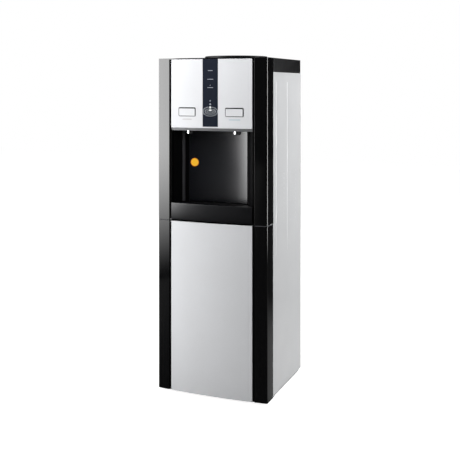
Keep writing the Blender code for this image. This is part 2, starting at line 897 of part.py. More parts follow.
def tube(name, points, radius, resolution, finish_name):
    """A round tube along a list of points, with closed ends."""
    path = bpy.data.curves.new(name, "CURVE")
    path.dimensions = "3D"
    path.bevel_depth = radius
    path.bevel_resolution = resolution
    path.use_fill_caps = True
    line = path.splines.new("POLY")
    line.points.add(len(points) - 1)
    for point, where in zip(line.points, points):
        point.co = (*where, 1)
    path.materials.append(material(finish_name))
    made = bpy.data.objects.new(name, path)
    bpy.context.collection.objects.link(made)
    return made


def smooth_route(places, steps):
    """A smooth curve through hand-chosen places, as evenly stepped points."""
    knots = [Vector(p) for p in places]
    knots = [2 * knots[0] - knots[1]] + knots + [2 * knots[-1] - knots[-2]]
    spans = len(knots) - 3
    points = []
    for step in range(steps + 1):
        position = spans * step / steps
        span = min(int(position), spans - 1)
        t = position - span
        a, b, c, d = knots[span:span + 4]
        points.append(0.5 * (2 * b + (c - a) * t + (2 * a - 5 * b + 4 * c - d) * t ** 2
                             + (3 * b - a - 3 * c + d) * t ** 3))
    return points


def recess_plan(inset, extra_depth, front_setback):
    """Plan of the niche: slanted sides and a hollowed back, drawn in by an inset."""
    mouth = recess_inner_half - inset
    corner = recess_back_half + liner_extra - inset
    half = [(x, front_y(x) + front_setback) for x in spread(0, mouth, bow_steps // 2)]
    half.append((mouth, front_y(mouth) + recess_front + recess_side_start))
    half += [(x, recess_back_y(x) + extra_depth - inset)
             for x in reversed(spread(0, corner, recess_steps // 2))]
    return mirrored_outline(half)


def make_recess_liner():
    """The moulded niche: slanted sides, ceiling, floor and hollowed back."""
    behind = splash_wall + gap
    outer = recess_plan(-recess_wall, behind, recess_front)
    liner = prism("recess_liner", outer, upper_bottom, recess_ceiling_top)
    inner = recess_plan(0, behind, recess_front - overrun)
    niche = prism("niche", inner, recess_floor, recess_top)
    holes = [cylinder("hole", nozzle_neck + running_gap, (side * button_x, corner_y + nozzle_setback),
                      recess_top - overrun, recess_ceiling_top + overrun) for side in (-1, 1)]
    return finish(cut(liner, niche, *holes), "satin_black")


def make_splash_panel():
    """The glossy curved sheet on the back of the niche."""
    half_front = [(x, recess_back_y(x)) for x in spread(-recess_back_half, recess_back_half, recess_steps)]
    half_back = [(x, y + splash_wall) for x, y in reversed(half_front)]
    panel = prism("splash_panel", half_front + half_back, splash_bottom, recess_top - gap)
    return finish(panel, "gloss_black")


def make_plain_disc():
    """The round yellow disc, turned to face the way the hollowed panel does there."""
    slope = -2 * (recess_middle_depth - recess_edge_depth) * disc_x / recess_back_half ** 2
    outward = Vector((slope, -1, 0)).normalized()
    on_panel = Vector((disc_x, recess_back_y(disc_x), disc_height))
    disc = rod("yellow_disc", on_panel + outward * disc_lift,
               on_panel + outward * (disc_lift + disc_thickness), disc_radius, round_steps // 2)
    return finish(disc, "signal_yellow")


def make_nozzle(name, side):
    """A polished spout under the niche's ceiling, its neck through the ceiling's hole."""
    ceiling = recess_top - gap
    profile = [(nozzle_bore, nozzle_bottom), (nozzle_radius - nozzle_taper, nozzle_bottom),
               (nozzle_radius, nozzle_bottom + nozzle_lip), (nozzle_radius, ceiling),
               (nozzle_neck, ceiling), (nozzle_neck, recess_ceiling_top), (nozzle_bore, recess_ceiling_top)]
    centre = (side * button_x, corner_y + nozzle_setback)
    return finish(turned(name, profile, centre, segments=round_steps // 2), "chrome")


def make_drip_tray():
    """The pull-out tray: a tall bowed front fused to an open box that fits the niche."""
    r = tray_front_round
    section = [(r, tray_low)]
    section += [(tray_front_wall, tray_low), (tray_front_wall, tray_top)]
    section += [(r, tray_top), (r * tray_round_share, tray_top - r * tray_round_share)]
    section += [(0, tray_top - r), (0, tray_low + r)]
    section += [(r * tray_round_share, tray_low + r * tray_round_share)]
    tray = bowed_bar("drip_tray", -tray_front_half, tray_front_half, section)
    behind = splash_wall + gap
    middle = tray_front_wall / 2
    body = prism("body", recess_plan(tray_side_gap, behind, middle), tray_low + gap, tray_box_top)
    inside = prism("inside", recess_plan(tray_side_gap + tray_wall, behind, tray_front_wall),
                   tray_low + tray_wall, tray_top + overrun)
    join(tray, body)
    return finish(cut(tray, inside), "gloss_black")


def make_drip_grille():
    """The slotted grille that rests on the tray's rim."""
    low = tray_box_top + gap
    plan = recess_plan(tray_side_gap + gap, splash_wall + gap, tray_front_wall + gap)
    grille = prism("drip_grille", plan, low, low + grille_thickness)
    slots = bmesh.new()
    for slot in range(grille_slots):
        x = (slot - (grille_slots - 1) / 2) * grille_pitch
        size = (grille_slot_width, grille_slot_back - grille_slot_front, grille_thickness + 2 * overrun)
        middle = (x, corner_y + (grille_slot_front + grille_slot_back) / 2, low + grille_thickness / 2)
        bmesh.ops.create_cube(slots, size=1, matrix=Matrix.Translation(middle) @ Matrix.Diagonal((*size, 1)))
    return finish(cut(grille, from_bmesh("slots", slots)), "satin_black")


def make_side_panel(name, side):
    """A pale steel side with two upright beads, two columns of louvre slots and a turned-in rear edge."""
    start, rear = corner_y + side_start, rear_y
    outline = [(side_outer, start), (side_outer, rear), (side_outer - side_rear_flange, rear),
               (side_outer - side_rear_flange, rear - sheet), (side_inner, rear - sheet),
               (side_inner, start)]
    panel = prism(name, [(side * x, y) for x, y in outline], side_bottom, side_top)
    beads = []
    for setback in bead_setbacks:
        y = corner_y + setback
        half = bead_width / 2
        section = [(side_outer - bead_root, y - half), (side_outer, y - half),
                   (half_width, y - half / 2), (half_width, y + half / 2), (side_outer, y + half),
                   (side_outer - bead_root, y + half)]
        beads.append(prism("bead", [(side * x, v) for x, v in section], bead_low, bead_high))
    join(panel, *beads)
    slots = []
    reach = sorted((side * (side_inner - overrun), side * (half_width + overrun)))
    for setback in louvre_setbacks:
        for row in range(louvre_rows):
            low = louvre_low + row * louvre_pitch - louvre_height / 2
            outline = rectangle(corner_y + setback, corner_y + setback + louvre_length,
                                low, low + louvre_height, louvre_height / 2, 1)
            slots.append(prism("slot", outline, *reach, "X"))
    cutter = slots[0]
    merged = bmesh.new()
    for slot in slots:
        merged.from_mesh(slot.data)
    merged.to_mesh(cutter.data)
    merged.free()
    for slot in slots[1:]:
        bpy.data.objects.remove(slot, do_unlink=True)
    return finish(cut(panel, cutter), "pale_steel")


def make_rear_panel():
    """The rear sheet with vents behind the fan and the hot tank, and holes for the rear fittings."""
    panel = box("rear_panel", (-inner_half, inner_half), (rear_front_y, rear_back_y),
                (side_bottom, side_top))
    through = (rear_front_y - overrun, rear_back_y + overrun)
    tools = []
    for x, centre in ((0, cooling_height), (low_vent_x, low_vent_centre)):
        for slot in range(vent_slots):
            z = centre + (slot - (vent_slots - 1) / 2) * vent_pitch
            outline = rectangle(x - vent_half, x + vent_half, z - vent_height / 2, z + vent_height / 2,
                                vent_height / 2, 1)
            tools.append(prism("vent", outline, *through, "Y"))
    half_x, half_z = switch_outer_half(rear_cut_gap)
    tools.append(prism("switch_hole", rectangle(switch_x - half_x, switch_x + half_x,
                                                switch_height - half_z, switch_height + half_z),
                       *through, "Y"))
    tools.append(cylinder("gland_hole", gland_radius + rear_cut_gap, (gland_x, gland_height),
                          *through, "Y"))
    tools.append(cylinder("drain_hole", drain_hole, (hot_x, drain_height), *through, "Y"))
    return finish(cut(panel, *tools), "zinc_sheet")


def folded_sheet(name, floor_low, flange_low, flange_high, start_y):
    """A deck: a flat floor with flanges at both sides and the rear, turned up or down."""
    low, high = min(floor_low, flange_low), max(floor_low + deck_sheet, flange_high)
    deck = box(name, (-inner_half, inner_half), (start_y, deck_end_y), (low, high))
    inner_x, inner_y = inner_half - sheet, deck_end_y - sheet
    up = flange_high > floor_low + deck_sheet
    clear = (floor_low + deck_sheet, high + overrun) if up else (low - overrun, floor_low)
    inside = box("inside", (-inner_x, inner_x), (start_y - overrun, inner_y), clear)
    ahead = box("ahead", (-half_width, half_width),
                (start_y - overrun, start_y + deck_flange_start - deck_start), clear)
    return cut(deck, inside, ahead)


def make_base_pan():
    """The folded base that everything stands on."""
    pan = folded_sheet("base_pan", fascia_bottom, fascia_bottom, fascia_bottom + pan_flange, deck_start_y)
    return finish(pan, "zinc_sheet")


def make_mid_deck():
    """The deck over the storage liner, which carries the hot tank and the power supply."""
    floor = deck_top - deck_sheet
    deck = folded_sheet("mid_deck", floor, floor - deck_flange, floor, deck_start_y)
    return finish(deck, "zinc_sheet")


def make_tank_shelf():
    """The shelf under the cold tank, with a hole for the feed."""
    floor = shelf_height - deck_sheet
    shelf = folded_sheet("tank_shelf", floor, floor - deck_flange, floor, corner_y + shelf_start)
    hole = cylinder("hole", stub_radius + 2 * running_gap, (feed_x, tank_y), floor - overrun,
                    shelf_height + overrun)
    return finish(cut(shelf, hole), "zinc_sheet")


def make_foot(name, x, setback):
    """A short rubber foot."""
    top = fascia_bottom - gap
    profile = [(0, 0), (foot_radius - foot_taper, 0), (foot_radius, top), (0, top)]
    return finish(turned(name, profile, (x, corner_y + setback), segments=round_steps // 2), "rubber")


def make_storage_liner():
    """The white box behind the door, with a flange round its mouth."""
    liner = box("storage_liner", (-store_half, store_half),
                (deck_start_y + store_flange / 2, corner_y + store_rear), (store_floor + store_lift, store_top))
    flange = box("flange", (-inner_half, inner_half), (deck_start_y, deck_start_y + store_flange),
                 (store_floor, deck_top - deck_sheet - gap))
    join(liner, flange)
    inner = store_half - store_wall
    space = box("space", (-inner, inner), (deck_start_y - overrun, corner_y + store_rear - store_wall),
                (store_floor + store_lift + store_wall, store_top - store_wall))
    return finish(cut(liner, space), "white_plastic")


def make_door_frame():
    """The lower columns with their returns, closed above and below, with a hinge boss at each end."""
    frame = prism("door_frame", fascia_plan(door_return), door_bottom, door_top)
    cut(frame, groove_cutter("groove", door_bottom - overrun, door_top + overrun, panel_flange + gap),
        hollow_cutter("hollow", door_bottom + plastic_wall, door_top - plastic_wall, door_return))
    root = plastic_wall / 2
    bosses, holes = [], []
    for low, high in ((door_bottom + root, door_bottom + plastic_wall + hinge_boss_height),
                      (door_top - plastic_wall - hinge_boss_height, door_top - root)):
        bosses.append(box("boss", (half_width - root - hinge_boss_width, half_width - root),
                          (hinge_y - hinge_boss_front, hinge_y + hinge_boss_back), (low, high)))
        holes.append(cylinder("hole", hinge_pin_radius + gap, (hinge_x, hinge_y),
                              low - overrun, high + overrun))
    join(frame, *bosses)
    notch = [(finger_notch_low - finger_notch_slope, door_return + overrun),
             (finger_notch_low, door_return - finger_notch_depth),
             (finger_notch_high, door_return - finger_notch_depth),
             (finger_notch_high + finger_notch_slope, door_return + overrun)]
    notch_cut = prism("notch", [(corner_y + setback, height) for height, setback in notch],
                      -half_width - overrun, -half_width + plastic_wall + overrun / 2, "X")
    return finish(cut(frame, *holes, notch_cut), "gloss_black")


def make_door_panel():
    """The silver front of the door."""
    return finish(silver_pan("door_panel", door_bottom, door_top), "silver_panel")


def make_door_liner():
    """The flat sheet that closes the back of the door."""
    half = half_width - plastic_wall - gap
    back = corner_y + door_return - door_liner_back
    sheet_box = box("door_liner", (-half, half), (back - door_liner_wall, back),
                    (door_bottom + plastic_wall + gap, door_top - plastic_wall - gap))
    return finish(sheet_box, "white_plastic")


def make_hinge(name, low, pin_end):
    """A flat bracket fixed to the body, with the pin that the door turns on."""
    high = low + hinge_plate
    right = inner_half
    bracket = box(name, (right - hinge_width, right),
                  (corner_y + hinge_front, corner_y + hinge_front + hinge_reach), (low, high))
    middle = (low + high) / 2
    pin = cylinder("pin", hinge_pin_radius, (hinge_x, hinge_y), min(middle, pin_end), max(middle, pin_end))
    return finish(join(bracket, pin), "zinc_sheet")


def make_magnet():
    """The magnet catch on the storage liner's flange, at the door's free side."""
    left = -inner_half + magnet_inset
    catch = box("door_magnet", (left, left + magnet_width),
                (deck_start_y - gap - magnet_proud, deck_start_y - gap),
                (magnet_low, magnet_low + magnet_height))
    return finish(catch, "rubber")


def make_top_cover():
    """The black cap over the body, with the round hole for the bottle seat."""
    right = half_width
    low, high = corner_y + side_start, rear_y

    def square_front(inset):
        """Round the two rear corners only."""
        outline = [(right - inset, low + inset)]
        for quarter, centre_x in enumerate((right - cover_radius, -right + cover_radius)):
            for step in range(corner_steps + 1):
                turn = (quarter + step / corner_steps) * math.pi / 2
                radius = cover_radius - inset
                outline.append((centre_x + radius * math.cos(turn),
                                high - cover_radius + radius * math.sin(turn)))
        outline.append((-right + inset, low + inset))
        return outline

    cover = prism("top_cover", square_front(0), cover_bottom, fascia_top)
    inside = prism("inside", square_front(plastic_wall), cover_bottom - overrun, fascia_top - top_wall)
    hole = cylinder("hole", seat_body_radius + gap, (0, seat_y), fascia_top - top_wall - overrun,
                    fascia_top + overrun, "Z", round_steps)
    return finish(cut(cover, inside, hole), "satin_black")


def make_bottle_seat():
    """The collar and funnel that the bottle's neck stands in, with a spout into the cold tank."""
    underside = fascia_top + gap
    rim = fascia_top + seat_rim_height
    outer, inner = seat_body_radius, seat_body_radius - seat_wall
    spout_outer = spout_radius + seat_wall
    shoulder = seat_floor - spout_shoulder
    profile = [
        (seat_flange_radius, underside), (seat_flange_radius, rim - seat_edge),
        (seat_flange_radius - seat_edge, rim), (inner + seat_lead - seat_wall, rim),
        (inner, rim - seat_lead), (inner - seat_taper, seat_floor + seat_floor_rise),
        (spout_radius + spout_shoulder, seat_floor), (spout_radius, shoulder), (spout_radius, spout_bottom),
        (spout_outer, spout_bottom), (spout_outer, shoulder - seat_wall / 2),
        (spout_radius + spout_shoulder + seat_wall / 2, seat_floor - seat_wall),
        (outer - seat_taper, seat_floor + seat_floor_rise - seat_wall), (outer, underside),
    ]
    return finish(turned("bottle_seat", profile, (0, seat_y)), "satin_black")


def make_probe():
    """The hollow spike that opens the bottle's cap, on a foot with four water holes."""
    foot_low = seat_floor + running_gap
    foot_high = foot_low + probe_foot_wall
    shoulder = probe_top - probe_tip
    profile = [(0, shoulder), (probe_bore, shoulder - probe_bore), (probe_bore, foot_low),
               (probe_foot_radius, foot_low), (probe_foot_radius, foot_high), (probe_radius, foot_high),
               (probe_radius, shoulder), (probe_radius / 2, probe_top - probe_tip / 4), (0, probe_top)]
    probe = turned("bottle_probe", profile, (0, seat_y), segments=small_round_steps)
    holes = []
    for hole in range(probe_holes):
        turn = 2 * math.pi * (hole + 0.5) / probe_holes
        centre = (probe_hole_circle * math.cos(turn), seat_y + probe_hole_circle * math.sin(turn))
        holes.append(cylinder("hole", probe_hole_radius, centre, foot_low - overrun, foot_high + overrun,
                              "Z", 10))
    return finish(cut(probe, *holes), "white_plastic")


def cold_stub_end():
    """Where the cold tank's outlet ends, outside the foam."""
    start = Vector((0, tank_y, tap_inlet_height))
    return start + cold_stub_direction * (cold_radius + cold_stub_reach)


def make_cold_tank():
    """The open-topped stainless tank with an outlet to the cold tap and a feed to the hot tank."""
    inner = cold_radius - tank_sheet
    profile = [(0, cold_bottom), (cold_radius, cold_bottom), (cold_radius, cold_top), (inner, cold_top),
               (inner, cold_bottom + tank_sheet), (0, cold_bottom + tank_sheet)]
    tank = turned("cold_tank", profile, (0, tank_y))
    middle = Vector((0, tank_y, tap_inlet_height))
    root = middle + cold_stub_direction * (cold_radius - tank_sheet / 2)
    feed = (feed_x, tank_y)
    join(tank, rod("outlet", root, cold_stub_end(), stub_radius),
         cylinder("feed", stub_radius, feed, cold_bottom - feed_stub_length, cold_bottom + tank_sheet / 2))
    bore_start = middle + cold_stub_direction * (inner - overrun)
    bore_end = cold_stub_end() + cold_stub_direction * overrun
    cut(tank, rod("bore", bore_start, bore_end, stub_bore),
        cylinder("feed_bore", stub_bore, feed, cold_bottom - feed_stub_length - overrun,
                 cold_bottom + tank_sheet + overrun))
    return finish(tank, "stainless")


def make_tank_lid():
    """The lid of the cold tank, with a hole for the bottle seat's spout."""
    low = cold_top + gap
    lid = cylinder("cold_tank_lid", cold_radius + lid_overhang, (0, tank_y), low, low + lid_thickness,
                   "Z", round_steps)
    hole = cylinder("hole", lid_hole, (0, seat_y), low - overrun, low + lid_thickness + overrun, "Z",
                    round_steps // 2)
    return finish(cut(lid, hole), "white_plastic")


def make_foam():
    """The foam jacket round the cold tank, open where the cold block reaches the tank."""
    low = shelf_height + gap
    inner = cold_radius + gap
    profile = [(0, low), (foam_radius, low), (foam_radius, cold_top), (inner, cold_top),
               (inner, cold_bottom - gap), (0, cold_bottom - gap)]
    foam = turned("tank_foam", profile, (0, tank_y))
    middle = Vector((0, tank_y, tap_inlet_height))
    outlet = rod("outlet", middle + cold_stub_direction * cold_radius / 2,
                 middle + cold_stub_direction * (foam_radius + overrun), stub_radius + stub_clearance)
    feed = cylinder("feed", stub_radius + stub_clearance, (feed_x, tank_y), low - overrun, cold_bottom)
    half = block_half + block_clearance
    window = box("window", (-half, half), (tank_y + cold_radius / 2, tank_y + foam_radius + overrun),
                 (block_low - block_clearance, block_low + block_height + block_clearance))
    return finish(cut(foam, outlet, feed, window), "foam")


def make_cold_block():
    """The aluminium block that fits the tank's wall, with the cooling chip bonded to its back."""
    block = box("cold_block", (-block_half, block_half), (tank_y + cold_radius / 2, corner_y + block_back),
                (block_low, block_low + block_height))
    tank = cylinder("tank", cold_radius + gap, (0, tank_y), block_low - overrun,
                    block_low + block_height + overrun, "Z", 2 * round_steps)
    start = corner_y + block_back
    chip = box("chip", (-chip_half, chip_half), (start - chip_thickness, start + chip_thickness),
               (cooling_height - chip_half, cooling_height + chip_half))
    return finish(join(cut(block, tank), chip), "aluminium")


def make_heat_sink():
    """A finned sink: upright fins on a flat base."""
    start, root, tip = corner_y + sink_front, corner_y + sink_front + sink_base, corner_y + sink_back
    outline = [(-sink_half, start), (sink_half, start)]
    pitch = (2 * sink_half - sink_fin_wall) / (sink_fins - 1)
    for fin in reversed(range(sink_fins)):
        left = -sink_half + fin * pitch
        right = left + sink_fin_wall
        outline += [(right, root)] * (fin < sink_fins - 1) + [(right, tip), (left, tip)]
        outline += [(left, root)] * (fin > 0)
    sink = prism("heat_sink", outline, cooling_height - sink_half, cooling_height + sink_half)
    return finish(sink, "aluminium")


def make_fan_frame():
    """The square fan housing with a cross of spokes behind the rotor."""
    start, end = corner_y + fan_front, corner_y + fan_back
    z_pair = (cooling_height - fan_half, cooling_height + fan_half)
    frame = box("fan_frame", (-fan_half, fan_half), (start, end), z_pair)
    cut(frame, cylinder("bore", fan_bore, (0, cooling_height), start - overrun, end + overrun, "Y",
                        round_steps))
    back = end - fan_spoke_inset
    front = back - fan_spoke_wall
    reach = (fan_bore + fan_half) / 2
    half = fan_spoke_width / 2
    level = box("level", (-reach, reach), (front, back), (cooling_height - half, cooling_height + half))
    upright = box("upright", (-half, half), (front + fan_spoke_wall / 5, back - fan_spoke_wall / 5),
                  (cooling_height - reach, cooling_height + reach))
    hub = cylinder("hub", fan_hub, (0, cooling_height), front - gap, back + gap, "Y")
    return finish(join(frame, level, upright, hub), "satin_black")


def make_fan_rotor():
    """The rotor: a hub with pitched blades."""
    hub_back = corner_y + fan_back - fan_spoke_inset - fan_spoke_wall - gap - running_gap
    hub_front = corner_y + fan_front + fan_front_gap
    rotor = cylinder("fan_rotor", fan_hub, (0, cooling_height), hub_front, hub_back, "Y",
                     round_steps // 2)
    middle_y = (hub_front + hub_back) / 2
    root = fan_hub - fan_blade_wall
    blades = []
    for blade in range(fan_blades):
        shape = box("blade", (-fan_blade_wall / 2, fan_blade_wall / 2),
                    (-fan_blade_chord / 2, fan_blade_chord / 2), (root, fan_blade_tip))
        pitch = Matrix.Rotation(fan_blade_pitch, 4, "Z")
        round_hub = Matrix.Rotation(2 * math.pi * blade / fan_blades, 4, "Y")
        shape.data.transform(Matrix.Translation((0, middle_y, cooling_height)) @ round_hub @ pitch)
        blades.append(shape)
    return finish(join(rotor, *blades), "satin_black")


def make_hot_tank():
    """The closed hot tank on three legs, with a feed, an outlet and a drain."""
    tank = cylinder("hot_tank", hot_radius, (hot_x, tank_y), hot_bottom, hot_top, "Z", round_steps)
    stub_top = hot_top + hot_stub_length
    root = hot_top - tank_sheet / 2
    outlet = (-button_x, corner_y + hot_outlet_setback)
    feed = (feed_x, tank_y)
    drain = (hot_x, drain_height)
    drain_start, drain_end = tank_y + hot_radius - tank_sheet / 2, tank_y + hot_radius + drain_reach
    parts = [cylinder("outlet", stub_radius, outlet, root, stub_top),
             cylinder("feed", stub_radius, feed, root, stub_top),
             cylinder("drain", stub_radius, drain, drain_start, drain_end, "Y")]
    for leg in range(hot_legs):
        turn = 2 * math.pi * (leg + 0.25) / hot_legs
        x = hot_x + hot_leg_circle * math.cos(turn)
        y = tank_y + hot_leg_circle * math.sin(turn)
        parts.append(box("leg", (x - hot_leg_half, x + hot_leg_half), (y - hot_leg_half, y + hot_leg_half),
                         (deck_top + gap, hot_bottom + tank_sheet / 2)))
    join(tank, *parts)
    inner = hot_radius - tank_sheet
    tools = [cylinder("inside", inner, (hot_x, tank_y), hot_bottom + tank_sheet, hot_top - tank_sheet,
                      "Z", round_steps),
             cylinder("outlet_bore", stub_bore, outlet, hot_top - 2 * tank_sheet, stub_top + overrun,
                      "Z", bore_steps),
             cylinder("feed_bore", stub_bore, feed, hot_top - 2 * tank_sheet, stub_top + overrun,
                      "Z", bore_steps),
             cylinder("drain_bore", stub_bore, drain, drain_start - overrun, drain_end + overrun,
                      "Y", bore_steps)]
    for tool in tools:
        cut(tank, tool)
    return finish(tank, "stainless")


def make_band_heater():
    """The heater band clamped round the hot tank, with its terminals at the split."""
    inner, outer = hot_radius + gap, hot_radius + gap + heater_wall
    high = heater_low + heater_height
    profile = [(inner, heater_low), (outer, heater_low), (outer, high), (inner, high)]
    band = turned("band_heater", profile, (hot_x, tank_y))
    middle_z = (heater_low + high) / 2
    terminal = box("terminal", (hot_x - outer - heater_terminal, hot_x - outer + heater_wall / 2),
                   (tank_y + heater_split, tank_y + heater_split + heater_terminal),
                   (middle_z - heater_terminal / 2, middle_z + heater_terminal / 2))
    join(band, terminal)
    split = box("split", (hot_x - outer - overrun, hot_x - inner + heater_wall + overrun),
                (tank_y - heater_split / 2, tank_y + heater_split / 2),
                (heater_low - overrun, high + overrun))
    return finish(cut(band, split), "mica_heater")


def make_hoses():
    """The hot, cold and feed hoses, and the drain hose through the rear panel. The hot hose rises ahead of
    the tank shelf, then levels out to its tap."""
    inlet_y = corner_y + tap_setback + tap_radius + tap_inlet_length + gap
    hot_start = (-button_x, corner_y + hot_outlet_setback, hot_top + hot_stub_length + gap)
    along = hot_outlet_setback - tap_setback - tap_radius - tap_inlet_length
    rise = tap_inlet_height - hot_top - hot_stub_length
    to_shelf_edge = hot_outlet_setback - shelf_start + hose_radius + hose_clearance
    rising_shares = ((0.0, 0.10), (0.13, 0.25), (0.58, 0.40), (1.0, 0.52))
    levelling_shares = ((0.13, 0.68), (0.19, 0.84), (0.39, 0.96), (0.71, 1.0))
    hot_places = [hot_start]
    hot_places += [(-button_x, hot_start[1] - forward * to_shelf_edge, hot_start[2] + up * rise)
                   for forward, up in rising_shares]
    hot_places += [(-button_x, hot_start[1] - to_shelf_edge - forward * (along - to_shelf_edge),
                    hot_start[2] + up * rise) for forward, up in levelling_shares]
    hot_places.append((-button_x, inlet_y, tap_inlet_height))
    tube("hot_hose", smooth_route(hot_places, hose_steps), hose_radius, 2, "silicone")
    cold_start = cold_stub_end() + cold_stub_direction * gap
    cold_lead = cold_start + cold_stub_direction * hose_lead
    reach_x, reach_y = button_x - cold_lead.x, cold_lead.y - inlet_y - hose_lead
    cold_route_shares = ((0.0, 0.0), (0.55, 0.30), (0.93, 0.66), (1.0, 1.0))
    cold_places = [cold_start]
    cold_places += [(cold_lead.x + right * reach_x, cold_lead.y - forward * reach_y, tap_inlet_height)
                    for right, forward in cold_route_shares]
    cold_places.append((button_x, inlet_y, tap_inlet_height))
    tube("cold_hose", smooth_route(cold_places, hose_steps), hose_radius, 2, "silicone")
    tube("feed_hose", smooth_route([(feed_x, tank_y, cold_bottom - feed_stub_length - gap),
                                    (feed_x, tank_y, hot_top + hot_stub_length + gap)], 4),
         hose_radius, 2, "silicone")
    drain_end = rear_back_y + drain_reach
    tube("drain_hose", smooth_route([(hot_x, tank_y + hot_radius + drain_reach + gap, drain_height),
                                     (hot_x, drain_end, drain_height)], 4),
         hose_radius, 2, "silicone")


def make_drain_cap():
    """The cap on the end of the drain hose, outside the rear panel."""
    start = rear_back_y + running_gap
    end = start + drain_cap_length
    bore = hose_radius + gap
    floor = rear_back_y + drain_reach + gap
    profile = [(0, end), (bore + drain_cap_wall, end), (bore + drain_cap_wall, start), (bore, start),
               (bore, floor), (0, floor)]
    return finish(turned("drain_cap", profile, (hot_x, drain_height), "Y", round_steps // 2), "rubber")


def make_power_supply():
    """The board on four posts, with its transformer and two capacitors."""
    low = deck_top + gap
    plate = low + board_lift
    x_pair = (board_x - board_half_width, board_x + board_half_width)
    y = corner_y + board_setback
    y_pair = (y - board_half_depth, y + board_half_depth)
    board = box("power_supply", x_pair, y_pair, (plate, plate + board_wall))
    parts = []
    for x in (x_pair[0] + board_post_inset, x_pair[1] - board_post_inset):
        for post_y in (y_pair[0] + board_post_inset, y_pair[1] - board_post_inset):
            parts.append(cylinder("post", board_post, (x, post_y), low, plate + board_wall / 2, "Z", 10))
    transformer_y = y - board_half_depth / 2
    parts.append(box("transformer", (board_x - transformer_half, board_x + transformer_half),
                     (transformer_y - transformer_half, transformer_y + transformer_half),
                     (plate + board_wall / 2, plate + transformer_height)))
    for side in (-1, 1):
        centre = (board_x + side * 2 * capacitor_radius, y + board_half_depth / 2)
        parts.append(cylinder("capacitor", capacitor_radius, centre, plate + board_wall / 2,
                              plate + capacitor_height))
    return finish(join(board, *parts), "board_green")


def switch_outer_half(clearance):
    """Half width and half height of the switch housing, with a clearance."""
    half_x = switch_spacing / 2 + switch_well_half + switch_wall + clearance
    return half_x, switch_well_rise + switch_wall + clearance


def make_switch_housing():
    """One moulding with two wells, a pin across both, and a flange outside the rear panel."""
    half_x, half_z = switch_outer_half(0)
    flange_start = rear_back_y + gap
    end = flange_start + switch_flange_wall
    housing = box("switch_housing", (switch_x - half_x, switch_x + half_x), (end - switch_depth, end - gap),
                  (switch_height - half_z, switch_height + half_z))
    flange = box("flange", (switch_x - half_x - switch_flange, switch_x + half_x + switch_flange),
                 (flange_start, end),
                 (switch_height - half_z - switch_flange, switch_height + half_z + switch_flange))
    join(housing, flange)
    wells = []
    for side in (-1, 1):
        x = switch_x + side * switch_spacing / 2
        wells.append(box("well", (x - switch_well_half, x + switch_well_half),
                         (end - switch_depth + switch_wall, end + overrun),
                         (switch_height - switch_well_rise, switch_height + switch_well_rise)))
    cut(housing, *wells)
    reach = half_x - switch_wall / 2
    pin = cylinder("pin", switch_pin_radius, (switch_pivot_y, switch_height), switch_x - reach,
                   switch_x + reach, "X", 12)
    return finish(join(housing, pin), "satin_black")


def make_rocker(name, side, finish_name):
    """A rocker on its pin, resting with its lower half pressed in."""
    x = switch_x + side * switch_spacing / 2
    outline = [(rocker_reach, rocker_rise), (rocker_reach - rocker_dip, 0), (rocker_reach, -rocker_rise),
               (rocker_root, -rocker_rise), (-rocker_root, -rocker_root), (-rocker_root, rocker_root),
               (rocker_root, rocker_rise)]
    tilted = [(switch_pivot_y + u * math.cos(rocker_tilt) + v * math.sin(rocker_tilt),
               switch_height + v * math.cos(rocker_tilt) - u * math.sin(rocker_tilt)) for u, v in outline]
    rocker = prism(name, tilted, x - rocker_half, x + rocker_half, "X")
    bore = cylinder("bore", rocker_bore, (switch_pivot_y, switch_height), x - rocker_half - overrun,
                    x + rocker_half + overrun, "X", 12)
    return finish(cut(rocker, bore), finish_name)


def make_cord_gland():
    """The bush where the mains lead enters the rear panel."""
    inside, outside = rear_front_y - gland_inside, rear_back_y + gap + gland_outside
    profile = [(gland_bore, inside), (gland_radius, inside), (gland_radius, rear_back_y + gap),
               (gland_flange, rear_back_y + gap), (gland_flange, outside), (gland_bore, outside)]
    gland = turned("cord_gland", profile, (gland_x, gland_height), "Y", round_steps // 2)
    return finish(gland, "rubber")


def hang_on(name, where, *pieces):
    """Parent moving pieces to an empty on their joint's axis."""
    axis = bpy.data.objects.new(name, None)
    bpy.context.collection.objects.link(axis)
    axis.location = where
    for piece in pieces:
        piece.parent = axis
        piece.matrix_parent_inverse = Matrix.Translation(where).inverted()


def make_tap(side, name):
    """One whole tap: button, lever, valve, spring, body and nozzle, with their joint axes."""
    button = make_button(name + "_button", side)
    lever = make_lever(name + "_tap_lever", side)
    stem = make_valve_stem(name + "_valve_stem", side)
    make_tap_body(name + "_tap_body", side)
    make_valve_spring(name + "_valve_spring", side)
    make_nozzle(name + "_nozzle", side)
    x = side * button_x
    hang_on(name + "_button_axis", (x, corner_y, button_centre), button)
    hang_on(name + "_lever_axis", (x, corner_y + lever_pin_setback, lever_pin_height), lever)
    hang_on(name + "_valve_axis", (x, corner_y + tap_setback, stem_top), stem)


